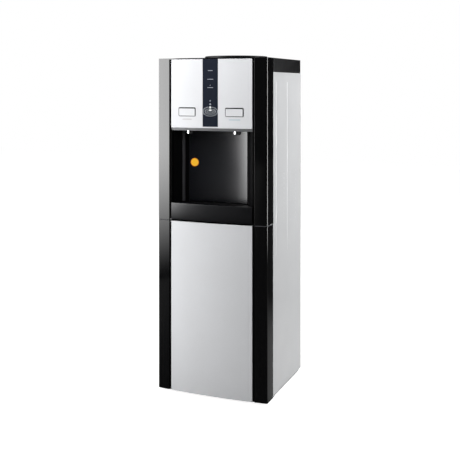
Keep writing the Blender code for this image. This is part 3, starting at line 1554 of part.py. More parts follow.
def build():
    """Make every piece of the dispenser."""
    clear_scene()
    make_base_pan()
    for name, x, setback in (("foot_front_left", -foot_x, foot_front_setback),
                             ("foot_front_right", foot_x, foot_front_setback),
                             ("foot_rear_left", -foot_x, foot_rear_setback),
                             ("foot_rear_right", foot_x, foot_rear_setback)):
        make_foot(name, x, setback)
    make_side_panel("left_side_panel", -1)
    make_side_panel("right_side_panel", 1)
    make_rear_panel()
    make_mid_deck()
    make_tank_shelf()
    make_storage_liner()
    make_top_cover()
    make_bottle_seat()
    make_probe()
    make_upper_frame()
    make_control_panel()
    make_display_strip()
    make_head_trim()
    make_tap(-1, "hot")
    make_tap(1, "cold")
    make_recess_liner()
    make_splash_panel()
    make_plain_disc()
    tray, grille = make_drip_tray(), make_drip_grille()
    hang_on("tray_axis", (0, corner_y, tray_low), tray, grille)
    door = (make_door_frame(), make_door_panel(), make_door_liner())
    hang_on("door_axis", (hinge_x, hinge_y, door_bottom), *door)
    make_hinge("upper_hinge", split_height - hinge_plate / 2, split_height - hinge_plate / 2 - hinge_pin_length)
    make_hinge("lower_hinge", fascia_bottom - gap - hinge_plate, fascia_bottom - gap + hinge_pin_length)
    make_magnet()
    make_cold_tank()
    make_tank_lid()
    make_foam()
    make_cold_block()
    make_heat_sink()
    make_fan_frame()
    rotor = make_fan_rotor()
    hang_on("fan_axis", (0, corner_y + fan_front, cooling_height), rotor)
    make_hot_tank()
    make_band_heater()
    make_hoses()
    make_drain_cap()
    make_power_supply()
    make_switch_housing()
    heating = make_rocker("heating_switch", -1, "switch_red")
    cooling = make_rocker("cooling_switch", 1, "switch_green")
    hang_on("heating_switch_axis", (switch_x - switch_spacing / 2, switch_pivot_y, switch_height), heating)
    hang_on("cooling_switch_axis", (switch_x + switch_spacing / 2, switch_pivot_y, switch_height), cooling)
    make_cord_gland()


build()
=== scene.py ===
"""Looks of a free-standing water dispenser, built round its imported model.

Every size is in metres in the model's own frame: the origin is on the floor under the middle of the
outer box, the front faces -Y and +Z is up. Sizes on the object are written in millimetres times MM, except
those whose names end in mm, which are plain millimetres. The studio's are written in metres.
"""
import json
import logging
import math
from dataclasses import dataclass, field
from enum import Enum
from typing import Any, Callable, Optional, Sequence

import bmesh
import bpy
import numpy as np
from bpy.types import Material, Node, NodeSocket, NodeTree, Object
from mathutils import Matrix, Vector


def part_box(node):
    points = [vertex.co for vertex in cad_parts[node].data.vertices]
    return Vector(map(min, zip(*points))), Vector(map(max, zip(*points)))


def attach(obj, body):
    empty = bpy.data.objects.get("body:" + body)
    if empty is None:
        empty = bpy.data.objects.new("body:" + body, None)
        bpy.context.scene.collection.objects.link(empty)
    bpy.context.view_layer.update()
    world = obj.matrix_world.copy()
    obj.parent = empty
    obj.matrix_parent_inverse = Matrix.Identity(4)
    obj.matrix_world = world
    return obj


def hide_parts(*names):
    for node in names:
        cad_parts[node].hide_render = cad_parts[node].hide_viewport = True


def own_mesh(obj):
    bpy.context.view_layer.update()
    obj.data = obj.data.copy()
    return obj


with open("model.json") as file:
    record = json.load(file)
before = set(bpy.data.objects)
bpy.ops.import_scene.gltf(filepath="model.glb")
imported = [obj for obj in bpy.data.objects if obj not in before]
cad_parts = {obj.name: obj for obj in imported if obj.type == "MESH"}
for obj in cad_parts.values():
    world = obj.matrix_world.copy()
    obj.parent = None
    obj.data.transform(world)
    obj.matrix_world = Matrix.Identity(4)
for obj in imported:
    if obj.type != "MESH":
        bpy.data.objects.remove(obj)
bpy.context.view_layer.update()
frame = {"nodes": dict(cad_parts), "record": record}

MM = 0.001
# How far each tap and its button are from the middle of the front
TAP_X_MM = 72.35
WELD = 0.002 * MM
FLAT_ANGLE = math.radians(0.4)
SHARP_ANGLE = math.radians(24)
SMOOTH = {"interpolation_type": "SMOOTHSTEP"}
# The part of a noise's range that most of its values lie in
DRIFT_RANGE = (0.3, 0.7)

log = logging.getLogger("dispenser")

RECORD = frame["record"]
BODY_OF = {node: body for body, nodes in RECORD["behaviour"]["bodies"].items() for node in nodes}

Pair = tuple[float, float]
Triple = tuple[float, float, float]
Rows = tuple[tuple[Any, ...], ...]


class Side(Enum):
    """Left is the hot side and right the cold one, as seen from the front."""

    LEFT = -1
    RIGHT = 1

    @property
    def sign(self) -> int:
        """The sign of X on this side."""
        return self.value

    @property
    def water(self) -> str:
        """The word that the names of this side's tap pieces start with."""
        return "hot" if self is Side.LEFT else "cold"

    @property
    def word(self) -> str:
        """The word for this side in names of casework."""
        return self.name.lower()


def linear(colour: str) -> tuple[float, float, float, float]:
    """Turn an sRGB hex colour into linear values.

    Args:
        colour: six hex digits after a hash sign.

    Returns:
        Linear red, green and blue, and 1 for opaque.
    """
    shares = np.array([int(colour[i:i + 2], 16) / 255 for i in (1, 3, 5)])
    values = np.where(shares <= 0.04045, shares / 12.92, ((shares + 0.055) / 1.055) ** 2.4)
    return (*values.tolist(), 1.0)


def per_metre(size_mm: float) -> float:
    """The texture scale that gives features of a real size in millimetres."""
    return 1.0 / (size_mm * MM)


def add_node(tree: NodeTree, kind: str, settings: Optional[dict[str, Any]] = None,
             inputs: dict[Any, Any] | Sequence[Any] = ()) -> Node:
    """Add one shader node with its settings and its links.

    Args:
        tree: the node tree that gets it.
        kind: the node's type, without the words ShaderNode.
        settings: values of the node's own properties.
        inputs: for each input, a constant, an output socket to link, or a node whose first output is
            linked. They stand in the node's order, or under their names or numbers.

    Returns:
        The new node.
    """
    node = tree.nodes.new("ShaderNode" + kind)
    for name, value in (settings or {}).items():
        setattr(node, name, value)
    for name, value in (inputs if isinstance(inputs, dict) else dict(enumerate(inputs))).items():
        if isinstance(value, Node):
            value = value.outputs[0]
        if isinstance(value, NodeSocket):
            tree.links.new(value, node.inputs[name])
        else:
            node.inputs[name].default_value = value
    return node


def new_material(name: str) -> tuple[Material, NodeTree]:
    """Make a material, whose node tree starts with a Principled BSDF and an output.

    Args:
        name: the material's name.

    Returns:
        The material and its tree.
    """
    made = bpy.data.materials.new(name)
    made.use_nodes = True
    return made, made.node_tree


Sockets = tuple[NodeSocket, NodeSocket]


@dataclass(frozen=True)
class Finish:
    """A surface finish: two near colours that drift into each other, and a fine relief.

    The drift and the relief come from pattern(), which each kind of finish can replace.
    """

    name: str
    colour: str
    shade: str
    roughness: float = 0.4
    roughness_drift: float = 0.05
    drift_mm: float = 40.0
    grain_mm: float = 1.0
    relief_mm: float = 0.01
    metallic: float = 0.0
    shine: float = 0.5

    def pattern(self, tree: NodeTree, place: NodeSocket) -> Sockets:
        """Make the drift between the two colours and the height of the relief.

        Args:
            tree: the material's node tree.
            place: the object coordinates.

        Returns:
            The drift from 0 to 1, and the height from 0 to 1.
        """
        drift = add_node(tree, "TexNoise", inputs={
            "Vector": place, "Scale": per_metre(self.drift_mm), "Detail": 3.0})
        grain = add_node(tree, "TexNoise", inputs={
            "Vector": place, "Scale": per_metre(self.grain_mm), "Detail": 2.0})
        return drift.outputs["Fac"], grain.outputs["Fac"]

    def build(self) -> Material:
        """Make the material on its first use, and find it again after that.

        Returns:
            The material.
        """
        made = bpy.data.materials.get(self.name)
        if made is None:
            made, tree = new_material(self.name)
            self.wire(tree, tree.nodes["Principled BSDF"])
        return made

    def wire(self, tree: NodeTree, shader: Node) -> None:
        """Join the pattern to the shader's colour, roughness and normal.

        Args:
            tree: the material's node tree.
            shader: its Principled BSDF.
        """
        place = add_node(tree, "TexCoord").outputs["Object"]
        drift, height = self.pattern(tree, place)
        colour = add_node(tree, "Mix", {"data_type": "RGBA"}, {
            0: drift, 6: linear(self.colour), 7: linear(self.shade)}).outputs[2]
        smoothest, roughest = self.roughness - self.roughness_drift, self.roughness + self.roughness_drift
        rough = add_node(tree, "MapRange", inputs=(drift, *DRIFT_RANGE, smoothest, roughest))
        bump = add_node(tree, "Bump", inputs={
            "Strength": 1.0, "Distance": self.relief_mm * MM, "Height": height})
        tree.links.new(colour, shader.inputs["Base Color"])
        tree.links.new(rough.outputs[0], shader.inputs["Roughness"])
        tree.links.new(bump.outputs[0], shader.inputs["Normal"])
        shader.inputs["Metallic"].default_value = self.metallic
        shader.inputs["Specular IOR Level"].default_value = self.shine


@dataclass(frozen=True)
class MetallicPaint(Finish):
    """Sprayed silver: fine flakes, drawn ten times coarser than real so that they show at all."""

    flake_mm: float = 1.2
    flake_share: float = 0.35

    def pattern(self, tree: NodeTree, place: NodeSocket) -> Sockets:
        """Mix cells of single flakes into a slow drift, over a faint orange peel.

        Args:
            tree: the material's node tree.
            place: the object coordinates.

        Returns:
            The drift from 0 to 1, and the height from 0 to 1.
        """
        flakes = add_node(tree, "TexVoronoi", inputs={
            "Vector": place, "Scale": per_metre(self.flake_mm)})
        drift, peel = super().pattern(tree, place)
        tone = add_node(tree, "SeparateColor", inputs={"Color": flakes.outputs["Color"]})
        mixed = add_node(tree, "Mix", inputs={
            0: self.flake_share, 2: drift, 3: tone.outputs["Red"]})
        return mixed.outputs[0], peel


@dataclass(frozen=True)
class SpangledZinc(Finish):
    """Hot-dipped sheet: crystals of unlike brightness, each a few millimetres across."""

    crystal_mm: float = 9.0

    def pattern(self, tree: NodeTree, place: NodeSocket) -> Sockets:
        """Give each crystal its own tone, on a faintly rough skin.

        Args:
            tree: the material's node tree.
            place: the object coordinates.

        Returns:
            The drift from 0 to 1, and the height from 0 to 1.
        """
        cells = add_node(tree, "TexVoronoi", inputs={
            "Vector": place, "Scale": per_metre(self.crystal_mm)})
        tone = add_node(tree, "SeparateColor", inputs={"Color": cells.outputs["Color"]})
        return tone.outputs["Green"], super().pattern(tree, place)[1]


@dataclass(frozen=True)
class DrawnMetal(Finish):
    """Brushed, drawn or extruded metal: fine lines one way, drawn a few times wider than real to show."""

    line_mm: float = 0.8
    stretch: Triple = (1.0, 1.0, 0.02)

    def pattern(self, tree: NodeTree, place: NodeSocket) -> Sockets:
        """Stretch a noise along the lines, for both tone and relief.

        Args:
            tree: the material's node tree.
            place: the object coordinates.

        Returns:
            The drift from 0 to 1, and the height from 0 to 1.
        """
        along = add_node(tree, "Mapping", inputs={"Vector": place, "Scale": self.stretch})
        lines = add_node(tree, "TexNoise", inputs={
            "Vector": along.outputs["Vector"], "Scale": per_metre(self.line_mm), "Detail": 3.0})
        return lines.outputs["Fac"], lines.outputs["Fac"]


@dataclass(frozen=True)
class CellFoam(Finish):
    """Rigid foam: open bubbles a few millimetres across."""

    def pattern(self, tree: NodeTree, place: NodeSocket) -> Sockets:
        """Sink each bubble to its middle, and darken it there as painted shade in the hollow."""
        bubbles = add_node(tree, "TexVoronoi", inputs={
            "Vector": place, "Scale": per_metre(self.grain_mm)})
        return bubbles.outputs["Distance"], bubbles.outputs["Distance"]


@dataclass(frozen=True)
class CircuitBoard(Finish):
    """Green lacquer over copper tracks, drawn as a grid of paths of unlike length."""

    def pattern(self, tree: NodeTree, place: NodeSocket) -> Sockets:
        """Lay brick-like tracks, which also stand a little proud."""
        tracks = add_node(tree, "TexBrick", {"offset": 0.37, "squash": 0.7}, {
            "Vector": place, "Scale": per_metre(self.grain_mm), "Mortar Size": 0.04})
        return tracks.outputs["Fac"], tracks.outputs["Fac"]


# Injection-moulded ABS with a mirror polish: deep black, lit only by what it reflects
GLOSS_BLACK = Finish("gloss_black_abs", "#070708", "#0a0a0b", 0.07, 0.015, 60, 5, 0.002)
# The same moulding with an etched grain: a soft grey sheen over black
SATIN_BLACK = Finish("satin_black_abs", "#0a0a0b", "#0e0e0f", 0.42, 0.05, 30, 1.4, 0.02, shine=0.1)
# The same moulding with a navy tint, behind the printed marks
NAVY_BLACK = Finish("gloss_navy_abs", "#1e222b", "#222630", 0.07, 0.015, 60, 5, 0.002)
# Matt moulded liner: swallows most light
LINER_BLACK = Finish("liner_black_abs", "#060607", "#09090a", 0.55, 0.03, 30, 1.4, 0.006, shine=0.02)
# Satin strip along the liner's left corner: a dark grey painted highlight that stands out from the liner
PAINTED_HIGHLIGHT_GREY = Finish("satin_charcoal_abs", "#303032", "#353537", 0.45, 0.04, 30, 1.4, 0.01, shine=0.2)
# Splash panel, moulded with a softer polish: a dark mirror with blurred edges
SOFT_BLACK = Finish("soft_gloss_abs", "#0b0c10", "#0d0e12", 0.22, 0.012, 60, 3, 0.0015, shine=0.6)
# Tray, moulded with a duller polish: its reflections spread into a haze
TRAY_BLACK = Finish("tray_black_abs", "#0a0a0d", "#0c0c0f", 0.3, 0.02, 60, 3, 0.002)
# Soft grey strip that the door's top edge closes against; its mid grey is a painted highlight along the split
BUMPER_HIGHLIGHT_GREY = Finish("grey_bumper_rubber", "#46464a", "#4e4e51", 0.7, 0.05, 12, 0.9, 0.02, shine=0.2)
# Foam strip in the gaps beside the columns and round the buttons, near black as painted shade in those gaps,
# and the buttons' dark border, which is a painted shadow
SEAL_AND_SHADE_BLACK = Finish("black_foam_seal", "#040404", "#060606", 0.9, 0.05, 12, 0.8, 0.02, shine=0.05)
# Sprayed silver over plastic: pale, with a broad soft highlight
SILVER_PAINT = MetallicPaint("satin_silver_paint", "#bfc0c2", "#c6c7ca", 0.6, 0.03, 70, 3, 0.004,
                             metallic=0.08, shine=0.25)
# Darker satin paint on the turned-under edge, which faces down: the darker grey is painted shade
TRIM_SHADE_PAINT = MetallicPaint("satin_grey_paint", "#6f7072", "#7a7b7d", 0.42, 0.03, 30, 3, 0.004, metallic=0.3)
# Pale powder coat: even, with a fine orange peel
POWDER_COAT = Finish("pale_powder_coat", "#c9cacc", "#cecfd0", 0.22, 0.02, 80, 1.8, 0.01, shine=0.3)
# Steel sheet dipped in zinc: a dull light grey with a faint patchwork of crystals
ZINC_SHEET = SpangledZinc("zinc_sheet", "#a9acae", "#b7babb", 0.42, 0.05, 40, 1, 0.006, metallic=0.6)
# Chrome plated over a polished part: a bright mirror that takes the colours round it
CHROME_PLATE = Finish("chrome_plate", "#dddde0", "#e6e6e8", 0.07, 0.02, 8, 3, 0.001, metallic=1.0)
# Brushed stainless steel: a bright grey metal with upright streaks
STAINLESS = DrawnMetal("brushed_stainless", "#b7b8ba", "#c6c7c8", 0.3, 0.06, metallic=1.0, relief_mm=0.006)
# Moulded white ABS with a light etch: pale, with a broad soft sheen
WHITE_ABS = Finish("white_moulding", "#e3e3e0", "#e9e9e6", 0.38, 0.04, 40, 1.6, 0.01)
# Moulded acetal without a dye: milky white and a little waxy
NATURAL_ACETAL = Finish("natural_acetal", "#e4e2da", "#eceae2", 0.3, 0.04, 12, 1, 0.006)
# Die-cut vinyl film: one strong even colour with a low satin shine
YELLOW_FILM = Finish("yellow_vinyl_film", "#f0b41c", "#f6bd26", 0.42, 0.05, 6, 0.9, 0.01)
ORANGE_FILM = Finish("orange_vinyl_film", "#dc7a12", "#e58419", 0.42, 0.05, 6, 0.9, 0.01)
# Foam blown in place: matt, straw-coloured and pitted with open bubbles, darker in each hollow as painted
# shade
RIGID_FOAM = CellFoam("rigid_foam", "#d8cf9f", "#efe8c4", 0.85, 0.05, 20, 3.0, 0.25)
# Extruded aluminium: a pale grey metal with the die's upright lines
EXTRUSION = DrawnMetal("extruded_aluminium", "#b4b6b8", "#c4c6c8", 0.36, 0.05, metallic=1.0, relief_mm=0.008)
# Mica in a rolled metal band: a dull grey-brown with level streaks round the tank
MICA_BAND = DrawnMetal("mica_band", "#8f8778", "#a49b88", 0.5, 0.06, metallic=0.6, relief_mm=0.02,
                       stretch=(0.02, 0.02, 1.0))
# Extruded silicone hose: cloudy grey-white with a soft sheen, drawn as if it let no light through
SILICONE = Finish("silicone_tube", "#c9cecd", "#d6dad9", 0.35, 0.04, 14, 1.2, 0.006)
# Moulded rubber: nearly black and matt, so that only its shape shows
RUBBER = Finish("moulded_rubber", "#161616", "#1e1e1d", 0.75, 0.06, 18, 0.9, 0.03)
# Printed circuit board under lacquer: dark green with paler tracks
BOARD = CircuitBoard("lacquered_board", "#0c4a2a", "#2a7a4a", 0.4, 0.05, 20, 6, 0.03)
# Moulded rockers with a polished top: clear colours with a sharp glint
RED_ABS = Finish("red_rocker_abs", "#a81712", "#b41d16", 0.24, 0.03, 20, 1.2, 0.004)
GREEN_ABS = Finish("green_rocker_abs", "#17843c", "#1d8f44", 0.24, 0.03, 20, 1.2, 0.004)
# Drawn spring wire: a bright, slightly streaky grey
SPRING_WIRE = DrawnMetal("spring_wire", "#a7a8aa", "#b6b7b9", 0.28, 0.05, metallic=1.0, relief_mm=0.003)


@dataclass(frozen=True)
class Ink(Finish):
    """A screen-printed ink: a thin even film with a dull surface."""

    roughness: float = 0.45
    roughness_drift: float = 0.04
    drift_mm: float = 2.0
    grain_mm: float = 0.6
    relief_mm: float = 0.004


# Two tints for the captions on the silver head, and four from dim to bright for the marks on the strip
GREY_INK = Ink("grey_caption_ink", "#a9a6a9", "#afacaf", 0.5, drift_mm=3)
BLUE_INK = Ink("blue_caption_ink", "#a3b0b7", "#a9b6bd", 0.5, drift_mm=3)
PALE_INK = Ink("pale_mark_ink", "#868b95", "#8d929c")
DIM_INK = Ink("dim_mark_ink", "#6b717c", "#747a85")
BRIGHT_INK = Ink("bright_mark_ink", "#cdd2d0", "#d6dad8")
SILVER_INK = Ink("silver_line_ink", "#c6cad0", "#d0d4d9", 0.4)


def grid_faces(rows: int, columns: int, patches: int = 1, wrap_rows: bool = False,
               wrap_columns: bool = False) -> np.ndarray:
    """Number the four corners of each face of one or more grids of points.

    Args:
        rows, columns: points along each side of a grid.
        patches: how many grids follow each other in the list of points.
        wrap_rows, wrap_columns: whether the last row or column meets the first.

    Returns:
        An array of faces, four point numbers each.
    """
    row = np.arange(rows if wrap_rows else rows - 1)[:, None]
    column = np.arange(columns if wrap_columns else columns - 1)[None, :]
    next_row, next_column = (row + 1) % rows, (column + 1) % columns
    corners = np.stack(np.broadcast_arrays(row * columns + column, row * columns + next_column,
                                           next_row * columns + next_column, next_row * columns + column), -1)
    starts = np.arange(patches)[:, None, None] * rows * columns
    return (corners.reshape(1, -1, 4) + starts).reshape(-1, 4)


def full_turn(segments: int) -> np.ndarray:
    """Angles spaced evenly round a circle, from 0 up to a full turn, which is left out."""
    return np.linspace(0, 2 * math.pi, segments, endpoint=False)


def add_object(name: str, data: Any) -> Object:
    """Link a new object.

    Args:
        name: the object's name.
        data: the mesh, light or camera that it holds.

    Returns:
        The object.
    """
    made = bpy.data.objects.new(name, data)
    bpy.context.collection.objects.link(made)
    return made


def new_piece(name: str, points: np.ndarray, faces: np.ndarray, flatten: bool = False) -> Object:
    """Put points and faces into a linked object and merge its doubles.

    Args:
        name: the piece's name.
        points: an array whose last side is X, Y and Z.
        faces: an array of point numbers, one row for each face.
        flatten: True joins the faces that lie in one plane. False turns all faces to point out.

    Returns:
        The new object, at the origin.
    """
    mesh = bpy.data.meshes.new(name)
    mesh.from_pydata(points.reshape(-1, 3), [], faces.tolist())
    shape = bmesh.new()
    shape.from_mesh(mesh)
    bmesh.ops.remove_doubles(shape, verts=shape.verts[:], dist=WELD)
    if flatten:
        bmesh.ops.dissolve_limit(shape, angle_limit=FLAT_ANGLE, verts=shape.verts[:], edges=shape.edges[:])
    else:
        bmesh.ops.recalc_face_normals(shape, faces=shape.faces[:])
    shape.to_mesh(mesh)
    shape.free()
    return add_object(name, mesh)


def complete(piece: Object, finish: Finish, body: str, edge: float = 0.0,
             steps: int = 2) -> None:
    """Give a piece its finish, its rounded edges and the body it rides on.

    Args:
        piece: the piece.
        finish: its finish.
        body: the CAD body that it moves with.
        edge: the width of the rounded edges in metres, or 0 for none.
        steps: faces across each rounded edge.
    """
    piece.data.materials.append(finish.build())
    piece.data.shade_smooth()
    piece.data.set_sharp_from_angle(angle=SHARP_ANGLE)
    if edge:
        rounding = piece.modifiers.new("rounded_edges", "BEVEL")
        rounding.width = edge
        rounding.segments = steps
        rounding.limit_method = "ANGLE"
        rounding.angle_limit = SHARP_ANGLE
        rounding.use_clamp_overlap = True
        rounding.harden_normals = True
    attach(piece, body)
    log.info("%s rides on %s in %s", piece.name, body, finish.name)


def stand_for(piece: Object, node: str, finish: Finish, edge: float = 0.0, steps: int = 2) -> None:
    """Complete a piece that is shown in place of a CAD node, on the node's body, and hide the node.

    Args:
        piece: the piece.
        node: the CAD node.
        finish: the finish.
        edge: the width of the rounded edges in metres.
        steps: faces across each rounded edge.
    """
    complete(piece, finish, BODY_OF[node], edge, steps)
    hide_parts(node)


def axis_of(node: str) -> Triple:
    """The point on the floor below the middle of a CAD node's box."""
    low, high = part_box(node)
    return (low[0] + high[0]) / 2, (low[1] + high[1]) / 2, 0.0


def finished_copy(node: str, finish: Finish, edge_mm: float = 0.4, steps: int = 2) -> None:
    """Copy a CAD node as a clean mesh that stands for it, and round its edges.

    Args:
        node: the CAD node.
        finish: the finish.
        edge_mm: the width of the rounded edges in millimetres.
        steps: faces across each rounded edge.
    """
    source = frame["nodes"][node].data
    points = np.empty(len(source.vertices) * 3, dtype=np.float32)
    source.vertices.foreach_get("co", points)
    corners = np.empty(len(source.loops), dtype=np.int32)
    source.loops.foreach_get("vertex_index", corners)
    piece = new_piece(node + "_finished", points, corners.reshape(-1, 3), flatten=True)
    stand_for(piece, node, finish, edge_mm * MM, steps)


def turned_piece(name: str, profile: np.ndarray, middle: Any, axis: Any = (0.0, 0.0, 1.0),
                 beside: Any = (1.0, 0.0, 0.0), segments: int = 96) -> Object:
    """Turn a profile about an axis.

    A point at radius r and place h along the axis goes to middle + r (beside cos t + third sin t) + h axis,
    with t from 0 to a full turn and the third direction square to the other two. A profile that doesn't
    start on the axis closes on itself.

    Args:
        name: the piece's name.
        profile: radius and place along the axis of each point.
        middle: the point of the axis at place 0.
        axis, beside: directions along the axis and square to it.
        segments: points round the circle.

    Returns:
        The piece.
    """
    turn = full_turn(segments)[None, :, None]
    radius, place = profile[:, 0][:, None, None], profile[:, 1][:, None, None]
    round_axis = np.cos(turn) * np.array(beside) + np.sin(turn) * np.cross(axis, beside)
    points = np.array(middle) + radius * round_axis + place * np.array(axis)
    closed = bool(profile[0, 0] > 0)
    return new_piece(name, points, grid_faces(len(profile), segments, 1, closed, True))


def swept_tube(name: str, path: np.ndarray, radius: float, beside: np.ndarray,
               segments: int = 24) -> Object:
    """Carry a circle along a path and close its ends.

    At each point the circle lies in the plane of two directions: one square to the path and to beside,
    and one square to both. The first and last rings shrink to their middles.

    Args:
        name: the piece's name.
        path: the points of the centre line.
        radius: the tube's radius.
        beside: a direction, or one for each point, that is never along the path.
        segments: points round the circle.

    Returns:
        The piece.
    """
    ahead = np.gradient(path, axis=0)
    ahead /= np.linalg.norm(ahead, axis=1, keepdims=True)
    first = np.cross(ahead, np.broadcast_to(beside, path.shape))
    first /= np.linalg.norm(first, axis=1, keepdims=True)
    second = np.cross(ahead, first)
    turn = full_turn(segments)[None, :, None]
    reach = np.full(len(path) + 2, radius)
    reach[[0, -1]] = 0
    ends = np.r_[0, np.arange(len(path)), len(path) - 1]
    ring = first[ends, None] * np.cos(turn) + second[ends, None] * np.sin(turn)
    points = path[ends, None] + reach[:, None, None] * ring
    return new_piece(name, points, grid_faces(len(ends), segments, wrap_columns=True))


def ribbon(name: str, near: np.ndarray, far: np.ndarray, low: float, high: float) -> Object:
    """Stand a band between two curves of a plan that have the same number of points.

    Its section is a rectangle: both curves at the lower height and both at the upper one. A face closes
    each end.

    Args:
        name: the piece's name.
        near, far: X and Y of each point of the two curves.
        low, high: the two heights.

    Returns:
        The piece.
    """
    steps = len(near)
    plan = np.stack([near, near, far, far])
    up = np.broadcast_to(np.array([low, high, high, low])[:, None, None], (4, steps, 1))
    ends = np.arange(4) * steps + np.array([[0], [steps - 1]])
    faces = np.vstack([grid_faces(4, steps, wrap_rows=True), ends])
    return new_piece(name, np.concatenate([plan, up], -1), faces)


@dataclass(frozen=True)
class Bow:
    """The bowed front that panels, columns and printed marks follow."""

    half_width: float = 167 * MM
    depth: float = 8.55 * MM

    @property
    def corner_y(self) -> float:
        """The plane of the two front corners."""
        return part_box("upper_front_frame")[0][1] + self.depth

    def y(self, x: np.ndarray) -> np.ndarray:
        """The surface: furthest forward in the middle and falling off with the square of X."""
        return self.corner_y - self.depth * (1 - (x / self.half_width) ** 2)

    def line(self, start: float, end: float, setback: float, steps: int = 9) -> np.ndarray:
        """Points of a plan line that runs at a setback behind the bow, from one X to another."""
        x = np.linspace(start, end, steps)
        return np.stack([x, self.y(x) + setback], -1)


Outline = Callable[[np.ndarray], tuple[np.ndarray, np.ndarray]]


def rounded_box(half_width: float, half_height: float, radius: float) -> Outline:
    """The outline of a rectangle with round corners: a circle pulled apart both ways.

    Args:
        half_width, half_height: half the rectangle's size.
        radius: the radius of its corners.

    Returns:
        A function that maps angles to X and Z of points on the outline.
    """
    def outline(turn: np.ndarray) -> tuple[np.ndarray, np.ndarray]:
        """Map an angle to a point of the outline."""
        across, up = np.cos(turn), np.sin(turn)
        return ((half_width - radius) * np.sign(across) + radius * across,
                (half_height - radius) * np.sign(up) + radius * up)
    return outline


def pill(half_width: float, half_height: float) -> Outline:
    """The outline of a bar with round ends."""
    return rounded_box(half_width, half_height, half_height)


def drop(half_width: float, half_height: float, taper: float = 0.45) -> Outline:
    """The outline of a drop: an ellipse that narrows towards its top."""
    return lambda turn: (half_width * np.cos(turn) * (1 - taper * np.sin(turn)), half_height * np.sin(turn))


@dataclass
class ButtonRing:
    """A dark ring along a button's outline that lies at a setback from the bowed front: painted shade in the
    gap round the button, and a painted shadow along the top and right of the button's face.
    """

    name: str
    centre: Pair
    half_size: Pair
    radius: float
    inner: float
    outer: float
    setback: float
    thickness: float
    inner_shift: Pair = (0.0, 0.0)
    body: str = "cabinet"
    segments: int = 96

    def build(self, bow: Bow) -> None:
        """Join two outlines, one outside the other, at two depths from the bow.

        Both are the button's own outline grown by a margin, and the inner one is also shifted.

        Args:
            bow: the front surface.
        """
        turn = (np.arange(self.segments) + 0.5) * 2 * math.pi / self.segments
        grown = (self.outer, self.inner, self.inner, self.outer)
        sides = np.array([rounded_box(*(half + grow for half in self.half_size), self.radius + grow)(turn)
                          for grow in grown])
        shift = np.array([0, 1, 1, 0])[:, None, None] * np.array(self.inner_shift)[:, None]
        x, z = np.moveaxis(sides + shift + np.array(self.centre)[:, None], 1, 0)
        depth = self.setback + np.array([0, 0, 1, 1])[:, None] * self.thickness
        points = np.stack([x, bow.y(x) + depth, z], -1)
        piece = new_piece(self.name, points, grid_faces(4, self.segments, 1, True, True))
        complete(piece, SEAL_AND_SHADE_BLACK, self.body)


@dataclass
class PrintedMark:
    """A thin printed shape that lies on the bowed front."""

    name: str
    outline: Outline
    centre: Pair
    finish: Finish
    inner: float = 0.0
    setback: float = 0.0
    lift: float = 0.02 * MM
    thickness: float = 0.06 * MM
    segments: int = 72
    rings: int = 4

    def build(self, bow: Bow) -> None:
        """Lay the outline on the bow, drawn in ring by ring from its edge to its inner share.

        Args:
            bow: the front surface.
        """
        share = np.linspace(1, self.inner, self.rings)[:, None]
        across, up = self.outline(full_turn(self.segments))
        x, z = self.centre[0] + share * across, self.centre[1] + share * up
        front = bow.y(x) + self.setback - self.lift
        faces = grid_faces(self.rings, self.segments, 1, False, True)
        count = self.rings * self.segments
        walls = [self.wall(0, count)]
        if self.inner:
            walls.append(self.wall((self.rings - 1) * self.segments, count))
        points = np.stack([np.stack([x, y, z], -1) for y in (front - self.thickness, front)])
        piece = new_piece(self.name, points, np.vstack([faces, faces + count, *walls]))
        complete(piece, self.finish, "cabinet")

    def wall(self, start: int, count: int) -> np.ndarray:
        """Join one ring of the top to the same ring of the bottom.

        Args:
            start: the number of the ring's first point.
            count: how many points the top has.

        Returns:
            An array of faces, four point numbers each.
        """
        near = start + np.arange(self.segments)
        far = start + (np.arange(self.segments) + 1) % self.segments
        return np.stack([near, far, far + count, near + count], -1)


@dataclass
class Screws:
    """Pan-head screws with a cross recess, set on a flat wall that faces +Y."""

    name: str
    places: Sequence[Pair]
    y: float
    radius: float = 3.6 * MM
    height: float = 1.7 * MM
    dome_power: int = 4
    cross_half: float = 0.55 * MM
    cross_reach: float = 2.1 * MM
    cross_depth: float = 1.1 * MM
    segments: int = 40
    rings: int = 14

    def build(self) -> None:
        """Make all the heads at once, as one piece.

        The height over a point falls off as a flattened dome from the middle, and drops by the cross's
        depth where the point lies within either arm.
        """
        turn = full_turn(self.segments)
        share = np.linspace(0, 1, self.rings)[:, None]
        u, v = self.radius * share * np.cos(turn), self.radius * share * np.sin(turn)
        dome = self.height * (1 - share ** self.dome_power) + 0 * u
        near = np.minimum(np.abs(u), np.abs(v)) < self.cross_half
        inside = np.maximum(np.abs(u), np.abs(v)) < self.cross_reach
        rise = dome - self.cross_depth * (near & inside)
        across, up = (side[:, None, None] for side in np.array(self.places).T)
        x, z = across + u, up + v
        y = self.y + np.broadcast_to(rise, x.shape)
        faces = grid_faces(self.rings, self.segments, len(self.places), wrap_columns=True)
        complete(new_piece(self.name, np.stack([x, y, z], -1), faces), CHROME_PLATE, "cabinet")


@dataclass
class Assembly:
    """A sub-assembly, whose first pieces are finished copies of CAD nodes.

    Each row of copies holds a node, its finish, the width of its rounded edges in millimetres and, where
    it isn't the usual two, the number of faces across each of them.
    """

    copies: Rows = ()
    bow: Bow = Bow()

    def build(self) -> None:
        """Make the copies in order."""
        for row in self.copies:
            finished_copy(*row)


